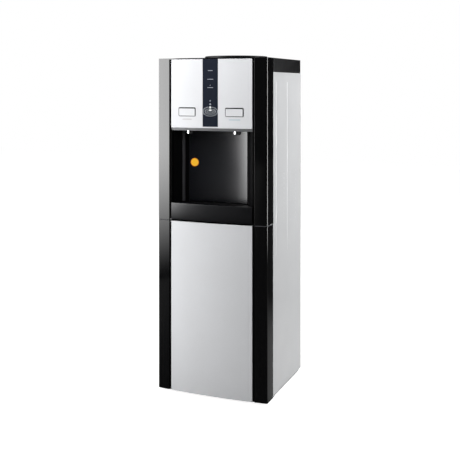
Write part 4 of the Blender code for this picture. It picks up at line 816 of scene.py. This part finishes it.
@dataclass
class Casework(Assembly):
    """Feet, base, decks, side and rear sheets, and the white storage liner."""

    sheet_edge_mm: float = 0.5
    liner_edge_mm: float = 1.2
    foot_radius_mm: float = 16.0
    foot_height_mm: float = 7.7
    foot_waist_mm: float = 13.0
    foot_edge: float = 0.3 * MM
    louvre_rows: int = 11
    louvre_first: float = 483 * MM
    louvre_pitch: float = 14.3 * MM
    louvre_setbacks: Pair = (95 * MM, 203 * MM)
    louvre_length: float = 54 * MM
    louvre_points: int = 25
    hood_above: float = 5.4 * MM
    hood_below: float = 1.9 * MM
    hood_depth: float = 0.75 * MM
    hood_wall: float = 0.3 * MM
    hood_points: int = 9
    hood_bulge: float = 0.8
    hood_flatness: float = 0.3
    hood_low_share: float = 0.36
    nib_place: float = 0.93
    nib_share: float = 0.026
    nib_reach: float = 1.6
    nib_points: int = 17
    nib_power: int = 4
    side_outer: float = 166.2 * MM
    screw_inset: float = 21 * MM
    screw_heights: tuple[float, ...] = (30 * MM, 240 * MM, 450 * MM, 690 * MM, 900 * MM)

    def build(self) -> None:
        """Make the casework's pieces."""
        for node in ("base_pan", "mid_deck", "tank_shelf"):
            finished_copy(node, ZINC_SHEET, self.sheet_edge_mm)
        for corner in ("front_left", "front_right", "rear_left", "rear_right"):
            self.foot("foot_" + corner)
        for side in Side:
            finished_copy(side.word + "_side_panel", POWDER_COAT, self.sheet_edge_mm)
            self.louvre_hoods(side)
        finished_copy("rear_panel", ZINC_SHEET, self.sheet_edge_mm)
        finished_copy("storage_liner", WHITE_ABS, self.liner_edge_mm, 3)
        self.rear_screws()

    def foot(self, node: str) -> None:
        """Turn one foot with a drawn-in tread and two shallow rings.

        Args:
            node: the foot's CAD node.
        """
        wide, waist, top = self.foot_radius_mm, self.foot_waist_mm, self.foot_height_mm
        profile = [(0, 0), (waist - 4, 0), (waist - 3.4, 0.6), (waist - 2.6, 0.6), (waist - 2, 0),
                   (waist, 0), (waist + 1.2, 2.6), (wide - 0.6, top - 1.6), (wide, top - 0.8),
                   (wide, top), (0, top)]
        piece = turned_piece(node + "_turned", np.array(profile) * MM, axis_of(node), segments=64)
        stand_for(piece, node, RUBBER, self.foot_edge)

    def louvre_hoods(self, side: Side) -> None:
        """Press a shallow hood over each louvre slot, open downwards.

        Along a slot the hood swells as a flattened parabola to a share of its depth, and to all of it at
        a nib near its rear end. From its top down it bulges as a quarter of a sine wave. The points along
        it are closer together at the nib.

        Args:
            side: the side panel.
        """
        spread = np.linspace(-self.nib_reach, self.nib_reach, self.nib_points)
        close = self.nib_place + self.nib_share * spread
        along = np.unique(np.r_[np.linspace(0, 1, self.louvre_points), close])
        down = np.linspace(0, 1, self.hood_points)[:, None]
        nib = np.exp(-((along - self.nib_place) / self.nib_share) ** self.nib_power)
        swell = self.hood_low_share * (4 * along * (1 - along)) ** self.hood_flatness
        bulge = np.sin(math.pi / 2 * down) ** self.hood_bulge
        depth = self.hood_depth * np.maximum(swell, nib) * bulge
        rows = self.louvre_first + self.louvre_pitch * np.arange(self.louvre_rows)
        starts = self.bow.corner_y + np.array(self.louvre_setbacks)
        row, start = (values.reshape(-1, 1, 1) for values in np.meshgrid(rows, starts))
        y = start + along * self.louvre_length + 0 * depth
        z = row + self.hood_above - (self.hood_above + self.hood_below) * down + 0 * y
        x = side.sign * (self.side_outer + depth) + 0 * y
        outer = np.stack([x, y, z], -1)
        inner = outer - np.array([side.sign * self.hood_wall, 0, 0])
        count, rings, steps = outer.shape[:3]
        shell = np.concatenate([outer, inner[:, ::-1]], axis=1)
        faces = grid_faces(2 * rings, steps, count, wrap_rows=True)
        piece = new_piece(side.word + "_louvre_hoods", shell, faces)
        complete(piece, POWDER_COAT, "cabinet")

    def rear_screws(self) -> None:
        """Fix the rear sheet with a column of screws at each side."""
        low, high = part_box("rear_panel")
        sides = (low[0] + self.screw_inset, high[0] - self.screw_inset)
        places = [(x, z) for x in sides for z in self.screw_heights]
        Screws("rear_screws", places, high[1]).build()


@dataclass
class TopDeck(Assembly):
    """The black cover, the bottle's collar and the white spike in its middle."""

    copies: Rows = (("top_cover", SATIN_BLACK, 2.0, 3),)
    probe_edge_mm: float = 0.5
    seat_flange_mm: float = 95.0
    seat_inner_mm: float = 80.5
    seat_wall_mm: float = 2.5
    seat_edge: float = 0.4 * MM
    top_mm: float = 958.0
    rim_mm: float = 968.0
    floor_mm: float = 921.0
    spout_mm: float = 18.0
    spout_end_mm: float = 893.0

    def build(self) -> None:
        """Make the cover, the collar and the spike."""
        super().build()
        self.collar()
        finished_copy("bottle_probe", WHITE_ABS, self.probe_edge_mm)

    def collar(self) -> None:
        """Turn the collar: a rolled rim, a funnel that curves in to the floor, and a spout."""
        flange, inner, wall = self.seat_flange_mm, self.seat_inner_mm, self.seat_wall_mm
        under, rim, floor, spout = self.top_mm + 0.3, self.rim_mm, self.floor_mm, self.spout_mm
        profile = [(flange, under), (flange, rim - 3), (flange - 0.9, rim - 0.9), (flange - 3, rim),
                   (inner + 4.5, rim), (inner + 2.2, rim - 1.2), (inner + 0.6, rim - 3.6), (inner, rim - 7),
                   (inner - 1, floor + 22), (inner - 3, floor + 11), (inner - 8, floor + 8.4),
                   (spout + 20, floor + 2.4), (spout + 6, floor), (spout + 1.4, floor - 2.4),
                   (spout, floor - 6), (spout, self.spout_end_mm), (spout + wall, self.spout_end_mm),
                   (spout + wall, floor - 7.2), (spout + 7.2, floor - wall),
                   (inner - 0.5, floor + 8.5), (inner + wall, under)]
        piece = turned_piece("bottle_collar", np.array(profile) * MM, axis_of("bottle_seat"), segments=144)
        stand_for(piece, "bottle_seat", SATIN_BLACK, self.seat_edge)


@dataclass
class Fascia(Assembly):
    """The glossy columns, the door with its silver panel and liner, its hinges and its catch."""

    copies: Rows = (
        ("upper_front_frame", GLOSS_BLACK, 0.3, 3), ("door_frame", GLOSS_BLACK, 0.3, 3),
        ("door_panel", SILVER_PAINT, 0.6, 3), ("door_liner", WHITE_ABS, 0.4),
        ("upper_hinge", ZINC_SHEET, 0.3), ("lower_hinge", ZINC_SHEET, 0.3), ("door_magnet", RUBBER, 0.5))
    # The seals in the grooves: near-black strips that paint shade into the gaps
    seal_x: Pair = (124.6 * MM, 130.4 * MM)
    seal_setback: float = 2.9 * MM
    seal_wall: float = 0.35 * MM
    seal_inset: float = 4 * MM
    corner_radius: float = 4 * MM
    bumper_start: float = 131.5 * MM
    bumper_end: float = 46 * MM
    bumper_end_by_hinge: float = 34 * MM
    bumper_inset: float = 0.5 * MM
    bumper_wall: float = 1.5 * MM
    bumper_lift: float = 0.05 * MM
    bumper_height: float = 1.6 * MM
    corner_points: int = 13

    def build(self) -> None:
        """Make the upper frame and the whole door."""
        super().build()
        for node in ("upper_front_frame", "door_frame"):
            self.groove_seals(node)
        for side in Side:
            self.door_bumper(side)

    def groove_seals(self, node: str) -> None:
        """Lay a foam strip in the groove beside each column, near black so that it paints shade into the
        groove.

        Args:
            node: the frame whose columns they are.
        """
        low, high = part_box(node)
        reach = (low[2] + self.seal_inset, high[2] - self.seal_inset)
        for side in Side:
            start, end = (side.sign * x for x in self.seal_x)
            strip = ribbon(f"{node}_{side.word}_seal", self.bow.line(start, end, self.seal_setback),
                           self.bow.line(start, end, self.seal_setback + self.seal_wall), *reach)
            complete(strip, SEAL_AND_SHADE_BLACK, BODY_OF[node])

    def door_bumper(self, side: Side) -> None:
        """Lay a soft grey bumper along the top of the door's column and of its side return, its grey a
        painted highlight along the split.

        In plan it follows the bow, a quarter circle round the corner, and the return. Its inner curve is
        the same one with a smaller half width and a larger setback. On the right it stops short of the
        hinge, so that it clears the bracket when the door swings.

        Args:
            side: the column's side.
        """
        curves = []
        depth = self.bumper_end if side is Side.LEFT else self.bumper_end_by_hinge
        for inset in (self.bumper_inset, self.bumper_inset + self.bumper_wall):
            turn = np.linspace(0, math.pi / 2, self.corner_points)[1:]
            reach, radius = self.bow.half_width - self.corner_radius, self.corner_radius - inset
            front = self.bow.line(self.bumper_start, reach, inset)
            middle = front[-1] + np.array([0, radius])
            corner = middle + radius * np.stack([np.sin(turn), -np.cos(turn)], -1)
            rear = np.array([[self.bow.half_width - inset, self.bow.corner_y + depth]])
            curves.append(np.vstack([front, corner, rear]) * [side.sign, 1])
        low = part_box("door_frame")[1][2] + self.bumper_lift
        piece = ribbon(side.word + "_door_bumper", *curves, low, low + self.bumper_height)
        complete(piece, BUMPER_HIGHLIGHT_GREY, BODY_OF["door_frame"])


@dataclass
class ControlHead(Assembly):
    """The silver head with its glossy strip, grey trim painted as shade, buttons and printed marks."""

    copies: Rows = (("control_panel", SILVER_PAINT, 0.2), ("head_trim", TRIM_SHADE_PAINT, 0.5),
                    ("display_strip", NAVY_BLACK, 0.15, 1))
    strip_sink: float = 0.15 * MM
    button_edge_mm: float = 0.25
    button_centre: Pair = (TAP_X_MM * MM, 805.5 * MM)
    button_half: Pair = (26.25 * MM, 11.5 * MM)
    button_radius: float = 2.5 * MM
    seal_reach: Pair = (0.12 * MM, 1.28 * MM)
    seal_setback: float = 1.3 * MM
    seal_wall: float = 0.4 * MM
    # The painted shadow on each button: a black band inside its outline, wider along the top and right
    border_reach: Pair = (-1.2 * MM, -0.05 * MM)
    border_shift: Pair = (-0.6 * MM, -0.7 * MM)
    border_setback: float = -0.66 * MM
    border_wall: float = 0.3 * MM
    caption_height: float = 784.6 * MM
    # X, half width and half height
    captions_mm: tuple[Triple, ...] = ((-TAP_X_MM, 15, 1.7), (73, 17, 1.9))
    # Height and half width
    bars_mm: tuple[Pair, ...] = ((922.2, 7.2), (897.7, 9.4), (874.3, 8.6))
    dot_height: float = 881.0 * MM
    dot_half: Pair = (1.3 * MM, 1.29 * MM)
    bar_half_height: float = 0.8 * MM
    # Height, half width and half height
    drops_mm: tuple[Triple, ...] = (
        (837.5, 2.3, 2.2), (828.1, 2.5, 2.6), (819.2, 2.7, 3.2), (811.0, 4.2, 2.4))
    ripple_centre: float = 807.2 * MM
    # Half width and half height
    ripples_mm: tuple[Pair, ...] = ((9.6, 4.2), (16.4, 7.8), (22.6, 13.2))
    ripple_line: float = 1.0 * MM

    def build(self) -> None:
        """Make the head's pieces."""
        super().build()
        for side in Side:
            finished_copy(side.water + "_button", SILVER_PAINT, self.button_edge_mm)
            centre = (side.sign * self.button_centre[0], self.button_centre[1])
            outline = (centre, self.button_half, self.button_radius)
            # A black seal ring paints shade into each button's gap, and a black band paints a shadow on the
            # button
            ButtonRing(side.water + "_button_seal", *outline, *self.seal_reach, self.seal_setback,
                       self.seal_wall).build(self.bow)
            ButtonRing(side.water + "_button_border", *outline, *self.border_reach, self.border_setback,
                       self.border_wall, self.border_shift, BODY_OF[side.water + "_button"]
                       ).build(self.bow)
        self.captions()
        self.strip_marks()

    def captions(self) -> None:
        """Print one plain bar under each button."""
        for side, ink, (x, wide, tall) in zip(Side, (GREY_INK, BLUE_INK), self.captions_mm):
            PrintedMark(side.water + "_caption", pill(wide * MM, tall * MM), (x * MM, self.caption_height),
                        ink).build(self.bow)

    def strip_marks(self) -> None:
        """Print the indicator bars, the falling drops and the ripples under them."""
        for number, (height, wide) in enumerate(self.bars_mm):
            bar = pill(wide * MM, self.bar_half_height)
            self.strip_mark(f"indicator_bar_{number}", bar, height * MM, PALE_INK)
        self.strip_mark("indicator_dot", pill(*self.dot_half), self.dot_height, PALE_INK)
        inks = (DIM_INK, PALE_INK, BRIGHT_INK, BRIGHT_INK)
        for number, (height, wide, tall) in enumerate(self.drops_mm):
            self.strip_mark(f"drop_mark_{number}", drop(wide * MM, tall * MM), height * MM, inks[number])
        for number, (wide, tall) in enumerate(self.ripples_mm):
            outline = drop(wide * MM, tall * MM, 0.0)
            inner = 1 - self.ripple_line / (wide * MM)
            self.strip_mark(f"ripple_mark_{number}", outline, self.ripple_centre, SILVER_INK, inner)

    def strip_mark(self, name: str, outline: Outline, height: float, finish: Finish,
                   inner: float = 0.0) -> None:
        """Print one mark on the strip, which lies a little behind the panel's front.

        Args:
            name: the mark's name.
            outline: its outline.
            height: the height of its middle.
            finish: its ink.
            inner: the share of the outline that is left open.
        """
        PrintedMark(name, outline, (0.0, height), finish, inner, self.strip_sink).build(self.bow)


@dataclass
class Tap(Assembly):
    """One tap: nozzle, valve body, stem, spring and lever."""

    side: Side = Side.LEFT
    stem_setback_mm: float = 21.0
    nozzle_setback_mm: float = 16.0
    nozzle_mouth: float = 742 * MM
    spring_radius_mm: float = 5.2
    spring_wire_mm: float = 0.9
    spring_turns: int = 4
    spring_points: int = 40
    spring_sides: int = 14
    spring_low_mm: float = 790.3
    spring_high_mm: float = 798.7
    spring_keep: float = 0.57
    nozzle_edge: float = 0.15 * MM
    acetal_parts: Rows = (("_tap_body", 0.4), ("_tap_lever", 0.4), ("_valve_stem", 0.3))

    def build(self) -> None:
        """Make the tap's pieces."""
        for part, edge_mm in self.acetal_parts:
            finished_copy(self.side.water + part, NATURAL_ACETAL, edge_mm)
        self.nozzle()
        self.spring()

    def nozzle(self) -> None:
        """Turn the polished nozzle: a drawn-in mouth, a groove and a plain band.

        Each point of its profile is a radius and a height above the mouth.
        """
        node = self.side.water + "_nozzle"
        profile = [(4, 0), (7.4, 0), (8.7, 0.3), (9.6, 1.0), (10.3, 2.2), (10.5, 3.4), (10.5, 6.6),
                   (10.2, 6.9), (10.2, 7.4), (10.5, 7.7), (10.5, 9.7), (6, 9.7), (6, 12.5), (4, 12.5)]
        mouth = (self.side.sign * TAP_X_MM * MM, self.bow.corner_y + self.nozzle_setback_mm * MM,
                 self.nozzle_mouth)
        piece = turned_piece(node + "_turned", np.array(profile) * MM, mouth)
        stand_for(piece, node, CHROME_PLATE, self.nozzle_edge)

    def spring(self) -> None:
        """Wind the spring: a circle carried along a helix."""
        node = self.side.water + "_valve_spring"
        centre = np.array([self.side.sign * TAP_X_MM * MM,
                           self.bow.corner_y + self.stem_setback_mm * MM])
        wire = self.spring_wire_mm / 2
        low, high = self.spring_low_mm + wire, self.spring_high_mm - wire
        share = np.linspace(0, 1, self.spring_turns * self.spring_points + 1)
        turn = 2 * math.pi * self.spring_turns * share
        radius = self.spring_radius_mm * MM
        path = np.stack([centre[0] + radius * np.cos(turn), centre[1] + radius * np.sin(turn),
                         (low + (high - low) * share) * MM], -1)
        piece = swept_tube(node + "_wound", path, wire * MM, np.array([0.0, 0.0, 1.0]), self.spring_sides)
        stand_for(piece, node, SPRING_WIRE)
        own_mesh(piece)


@dataclass
class Recess(Assembly):
    """The niche: its liner, the glossy hollow panel and the plain round sticker."""

    copies: Rows = (("recess_liner", LINER_BLACK, 0.3),)
    back_half: float = 90.5 * MM
    edge_depth: float = 46 * MM
    middle_depth: float = 58 * MM
    panel_wall: float = 1.8 * MM
    panel_points: int = 81
    panel_edge: float = 0.3 * MM
    disc_x: float = -74.3 * MM
    disc_radius: float = 12 * MM
    disc_lift: float = 0.55 * MM
    disc_wall: float = 0.6 * MM
    disc_edge: tuple[Pair, ...] = ((1.0, 0.0), (1.0, 0.7), (0.985, 1.0))
    rim_share: float = 0.86
    # X and setback of the slanted wall at its front and at its back
    wall_front: Pair = (121.8 * MM, 7.3 * MM)
    wall_back: Pair = (91.5 * MM, 46 * MM)
    bead_share: float = 0.68
    bead_half: float = 4.5 * MM
    bead_rise: float = 0.9 * MM
    bead_sink: float = 0.55 * MM
    bead_points: int = 25
    bead_low: float = 546 * MM
    bead_high: float = 751 * MM

    def build(self) -> None:
        """Make the niche's pieces."""
        super().build()
        for side in Side:
            self.corner_bead(side)
        self.splash_panel()
        self.sticker()

    def back_y(self, x: np.ndarray) -> np.ndarray:
        """The hollow back: deepest in the middle, and less deep with the square of X."""
        hollow = self.middle_depth - self.edge_depth
        return self.bow.corner_y + self.edge_depth + hollow * (1 - (x / self.back_half) ** 2)

    def corner_bead(self, side: Side) -> None:
        """Run a low rounded bead up the slanted wall, where the wall turns to the back.

        In plan the bead is half an ellipse that lies along the wall, a little sunk into it.

        Args:
            side: the wall's side.
        """
        flip = np.array([side.sign, 1])
        corner = np.array([0, self.bow.corner_y])
        front, back = corner + self.wall_front, corner + self.wall_back
        along = (back - front) / np.linalg.norm(back - front)
        inward = np.array([-along[1], along[0]])
        share = np.linspace(-1, 1, self.bead_points)[:, None]
        spine = front + (back - front) * self.bead_share + along * share * self.bead_half
        near = spine + inward * self.bead_rise * np.sqrt(1 - share ** 2)
        far = spine - inward * self.bead_sink
        piece = ribbon(side.word + "_corner_bead", near * flip, far * flip, self.bead_low, self.bead_high)
        # The left bead's lighter grey is a painted highlight; the right bead keeps the liner's black
        finish = PAINTED_HIGHLIGHT_GREY if side is Side.LEFT else LINER_BLACK
        complete(piece, finish, "cabinet")

    def splash_panel(self) -> None:
        """Sweep the panel's thin section along the hollow back."""
        low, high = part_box("splash_panel")
        x = np.linspace(-self.back_half, self.back_half, self.panel_points)
        front = np.stack([x, self.back_y(x)], -1)
        piece = ribbon("splash_panel_swept", front, front + [0, self.panel_wall], low[2], high[2])
        stand_for(piece, "splash_panel", SOFT_BLACK, self.panel_edge)

    def sticker(self) -> None:
        """Lay a plain yellow disc with an orange rim on the hollow panel."""
        low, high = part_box("yellow_disc")
        slope = -2 * (self.middle_depth - self.edge_depth) * self.disc_x / self.back_half ** 2
        outward = np.array([slope, -1.0, 0.0])
        outward /= np.linalg.norm(outward)
        beside = np.array([-outward[1], outward[0], 0.0])
        middle = np.array([self.disc_x, float(self.back_y(np.array(self.disc_x))), (low[2] + high[2]) / 2])
        rings = (("round_sticker", 0, self.rim_share), ("round_sticker_rim", self.rim_share, 1))
        for name, inner, outer in rings:
            shares = np.array([(inner, 0), *(self.disc_edge * np.array([outer, 1])), (inner, 1)])
            profile = shares * [self.disc_radius, self.disc_wall] + [0, self.disc_lift]
            piece = turned_piece(name, profile, middle, outward, beside)
            if inner:
                complete(piece, ORANGE_FILM, "cabinet")
            else:
                stand_for(piece, "yellow_disc", YELLOW_FILM)


@dataclass
class DripTray(Assembly):
    """The pull-out tray and the grille on its rim."""

    copies: Rows = (("drip_tray", TRAY_BLACK, 0.5, 3), ("drip_grille", SATIN_BLACK, 0.3, 1))


@dataclass
class ColdSide(Assembly):
    """The chilled tank in its foam, the cooling block, the sink and the fan."""

    copies: Rows = (
        ("cold_tank", STAINLESS, 0.3), ("cold_tank_lid", WHITE_ABS, 0.5), ("tank_foam", RIGID_FOAM, 1.0),
        ("cold_block", EXTRUSION, 0.4), ("heat_sink", EXTRUSION, 0.3), ("fan_frame", SATIN_BLACK, 0.5),
        ("fan_rotor", SATIN_BLACK, 0.3))


@dataclass
class HotSide(Assembly):
    """The heated tank on its legs, the heater band, all four hoses and the drain's cap."""

    copies: Rows = (
        ("hot_tank", STAINLESS, 0.4), ("band_heater", MICA_BAND, 0.3), ("hot_hose", SILICONE, 0.0),
        ("cold_hose", SILICONE, 0.0), ("feed_hose", SILICONE, 0.0), ("drain_hose", SILICONE, 0.0),
        ("drain_cap", RUBBER, 0.4))


@dataclass
class Electrics(Assembly):
    """The power supply, the two rear rockers in their housing, and the bush for the lead."""

    copies: Rows = (
        ("power_supply", BOARD, 0.3), ("switch_housing", SATIN_BLACK, 0.4), ("heating_switch", RED_ABS, 0.4),
        ("cooling_switch", GREEN_ABS, 0.4), ("cord_gland", RUBBER, 0.6))


def one_face(name: str, corners: Any, made: Material) -> Object:
    """Link an object of one face.

    Args:
        name: the object's name.
        corners: its four corners.
        made: its material.

    Returns:
        The object.
    """
    mesh = bpy.data.meshes.new(name)
    mesh.from_pydata(corners, [], [(0, 1, 2, 3)])
    mesh.materials.append(made)
    return add_object(name, mesh)


@dataclass
class Panel:
    """A soft box of the studio: a flat glowing sheet that only reflections see."""

    name: str
    azimuth: float
    distance: float
    half_width: float
    low: float
    high: float
    strength: float
    fade_low: float
    fade_side: float

    def build(self) -> None:
        """Stand the sheet on a circle round the object, facing it."""
        turn = math.radians(self.azimuth)
        out = np.array([math.sin(turn), -math.cos(turn)])
        beside = np.array([math.cos(turn), math.sin(turn)])
        ends = out * self.distance + np.array([[-1], [1], [1], [-1]]) * beside * self.half_width
        heights = np.array([self.low, self.low, self.high, self.high])[:, None]
        sheet = one_face(self.name, np.hstack([ends, heights]), self.light(beside))
        for ray in ("camera", "diffuse", "transmission", "volume_scatter", "shadow"):
            setattr(sheet, "visible_" + ray, False)

    def light(self, beside: np.ndarray) -> Material:
        """The sheet's light, which rises smoothly from its lower edge and from its sides.

        Args:
            beside: the level direction along the sheet.

        Returns:
            The material.
        """
        made, tree = new_material(self.name + "_light")
        tree.nodes.remove(tree.nodes["Principled BSDF"])
        place = add_node(tree, "TexCoord").outputs["Object"]
        height = add_node(tree, "SeparateXYZ", inputs={0: place}).outputs["Z"]
        risen = add_node(tree, "MapRange", SMOOTH, (
            height, self.low, self.low + self.fade_low, 0, self.strength))
        level = add_node(tree, "VectorMath", {"operation": "DOT_PRODUCT"}, (place, (*beside.tolist(), 0.0)))
        apart = add_node(tree, "Math", {"operation": "ABSOLUTE"}, (level.outputs["Value"],))
        faded = add_node(tree, "MapRange", SMOOTH, (apart, self.half_width, self.half_width - self.fade_side))
        strength = add_node(tree, "Math", {"operation": "MULTIPLY"}, (risen, faded))
        light = add_node(tree, "Emission", inputs={"Strength": strength})
        tree.links.new(light.outputs[0], tree.nodes["Material Output"].inputs["Surface"])
        return made


@dataclass
class Lamp:
    """A square area lamp that lights surfaces but isn't mirrored in them."""

    name: str
    place: Triple
    size: float
    power: float
    aim: Triple = (0.0, 0.0, 0.5)

    def build(self) -> None:
        """Hang the lamp and turn it to its aim."""
        light = bpy.data.lights.new(self.name, "AREA")
        light.size = self.size
        light.energy = self.power
        lamp = add_object(self.name, light)
        lamp.location = self.place
        lamp.rotation_euler = (Vector(self.aim) - Vector(self.place)).to_track_quat("-Z", "Y").to_euler()
        lamp.visible_glossy = False


@dataclass
class Studio:
    """The pale floor, the white surround, the lamps and the camera at the photograph's view."""

    camera_place: Triple = (0.9319, -2.2685, 0.8766)
    camera_turn: float = 22.45
    lens_mm: float = 64.38
    sensor_mm: float = 36.0
    shift_side: float = 0.0005
    shift_up: float = -0.3113
    clip_end: float = 60.0
    fill: float = 0.15
    dark_side: float = 0.012
    backdrop_near: Pair = (0.05, 0.45)
    backdrop_low: Pair = (0.1, 0.6)
    floor_half: float = 7.0
    floor_colour: str = "#bcbcbb"
    floor_roughness: float = 0.9
    floor_shine: float = 0.1
    floor_glow: float = 0.92
    floor_dark: float = 0.03
    floor_left: float = 0.15
    left_range: Pair = (-0.2, -0.9)
    floor_behind: float = 0.3
    behind_range: Pair = (-0.16, -0.08)
    close_range: Pair = (1.0, 0.3)
    panels: list[Panel] = field(default_factory=lambda: [
        Panel("left_softbox", -56.0, 0.553, 0.23, 0.24, 2.0, 10.6, 0.48, 0.03),
        Panel("right_softbox", 110.0, 1.1, 0.25, 0.16, 1.8, 15.5, 0.22, 0.05),
    ])
    lamps: list[Lamp] = field(default_factory=lambda: [
        Lamp("top_front_lamp", (-0.05, -0.85, 1.35), 0.7, 10.0, (0.0, 0.0, 0.7)),
        Lamp("low_left_lamp", (-0.45, -0.55, 0.25), 0.4, 2.8, (0.0, -0.14, 0.25)),
        Lamp("overhead_lamp", (0.2, 0.2, 2.6), 1.4, 20.0),
        Lamp("right_lamp", (1.4, 1.1, 1.3), 1.2, 41.0),
        Lamp("rear_lamp", (-0.9, 2.3, 1.6), 1.2, 20.0),
    ])

    def build(self) -> None:
        """Set up the whole studio."""
        self.camera()
        self.floor()
        self.world()
        for item in (*self.panels, *self.lamps):
            item.build()
        bpy.context.scene.view_settings.view_transform = "Standard"

    def camera(self) -> None:
        """Stand the camera where the photograph was taken from."""
        optics = bpy.data.cameras.new("photo_camera")
        optics.lens = self.lens_mm
        optics.sensor_width = self.sensor_mm
        optics.shift_x = self.shift_side
        optics.shift_y = self.shift_up
        optics.clip_end = self.clip_end
        camera = add_object("photo_camera", optics)
        camera.location = self.camera_place
        camera.rotation_euler = (math.radians(90), 0, math.radians(self.camera_turn))
        bpy.context.scene.camera = camera

    def floor(self) -> None:
        """Lay a pale floor that the camera sees as white, apart from the object's shadow.

        Reflections see it nearly black in front, a little lighter on the left, and lighter again close
        behind the object, as the glossy columns do in the photograph.
        """
        made, tree = new_material("floor_paint")
        shader = tree.nodes["Principled BSDF"]
        shader.inputs["Base Color"].default_value = linear(self.floor_colour)
        shader.inputs["Roughness"].default_value = self.floor_roughness
        shader.inputs["Specular IOR Level"].default_value = self.floor_shine
        rays = add_node(tree, "LightPath").outputs
        seen = add_node(tree, "Math", {"operation": "MULTIPLY"}, (rays["Is Camera Ray"], self.floor_glow))
        light = add_node(tree, "Emission", inputs={"Strength": seen})
        both = add_node(tree, "AddShader", inputs=(shader, light))
        place = add_node(tree, "TexCoord").outputs["Object"]
        split = add_node(tree, "SeparateXYZ", inputs=(place,)).outputs
        left = add_node(tree, "MapRange", SMOOTH, (
            split["X"], *self.left_range, self.floor_dark, self.floor_left))
        behind = add_node(tree, "MapRange", SMOOTH, (split["Y"], *self.behind_range, 0, self.floor_behind))
        close = add_node(tree, "MapRange", SMOOTH, (split["Y"], *self.close_range))
        mirrored = add_node(tree, "Math", {"operation": "MULTIPLY_ADD"}, (behind, close, left))
        dim = add_node(tree, "Emission", inputs={"Strength": mirrored})
        shown = add_node(tree, "MixShader", inputs=(rays["Is Glossy Ray"], both, dim))
        tree.links.new(shown.outputs[0], tree.nodes["Material Output"].inputs["Surface"])
        corners = np.array([(-1, -1, 0), (1, -1, 0), (1, 1, 0), (-1, 1, 0)]) * self.floor_half
        ground = one_face("floor", corners, made)

    def world(self) -> None:
        """Surround the object with white for the camera and behind it, and with dark in front of it.

        Camera and transmission rays see plain white. Reflections see a white backdrop above and behind,
        which fades to dark towards the horizon, and a dark room in front. Everything else gets an even fill.
        """
        world = bpy.data.worlds.new("studio")
        bpy.context.scene.world = world
        world.use_nodes = True
        tree = world.node_tree
        backdrop = tree.nodes["Background"]
        rays = add_node(tree, "LightPath").outputs
        direction = add_node(tree, "TexCoord").outputs["Generated"]
        split = add_node(tree, "SeparateXYZ", inputs=(direction,)).outputs
        behind = add_node(tree, "MapRange", SMOOTH, (split["Y"], *self.backdrop_near))
        above = add_node(tree, "MapRange", SMOOTH, (split["Z"], *self.backdrop_low))
        white = add_node(tree, "Math", {"operation": "MULTIPLY"}, (behind, above))
        mirrored = add_node(tree, "MapRange", inputs={"Value": white, "To Min": self.dark_side})
        glossy = add_node(tree, "Mix", inputs={0: rays["Is Glossy Ray"], 2: self.fill, 3: mirrored})
        direct = add_node(tree, "Math", {"operation": "MAXIMUM"}, (
            rays["Is Camera Ray"], rays["Is Transmission Ray"]))
        strength = add_node(tree, "Mix", inputs={0: direct, 2: glossy, 3: 1.0})
        tree.links.new(strength.outputs[0], backdrop.inputs["Strength"])
        backdrop.inputs["Color"].default_value = (1, 1, 1, 1)


def main() -> None:
    """Build every sub-assembly in order, and then the studio."""
    logging.basicConfig(level=logging.INFO, format="%(message)s")
    taps = [Tap(side=side) for side in Side]
    for assembly in (Casework(), TopDeck(), Fascia(), ControlHead(), *taps, Recess(), DripTray(),
                     ColdSide(), HotSide(), Electrics(), Studio()):
        assembly.build()


if __name__ == "__main__":
    main()
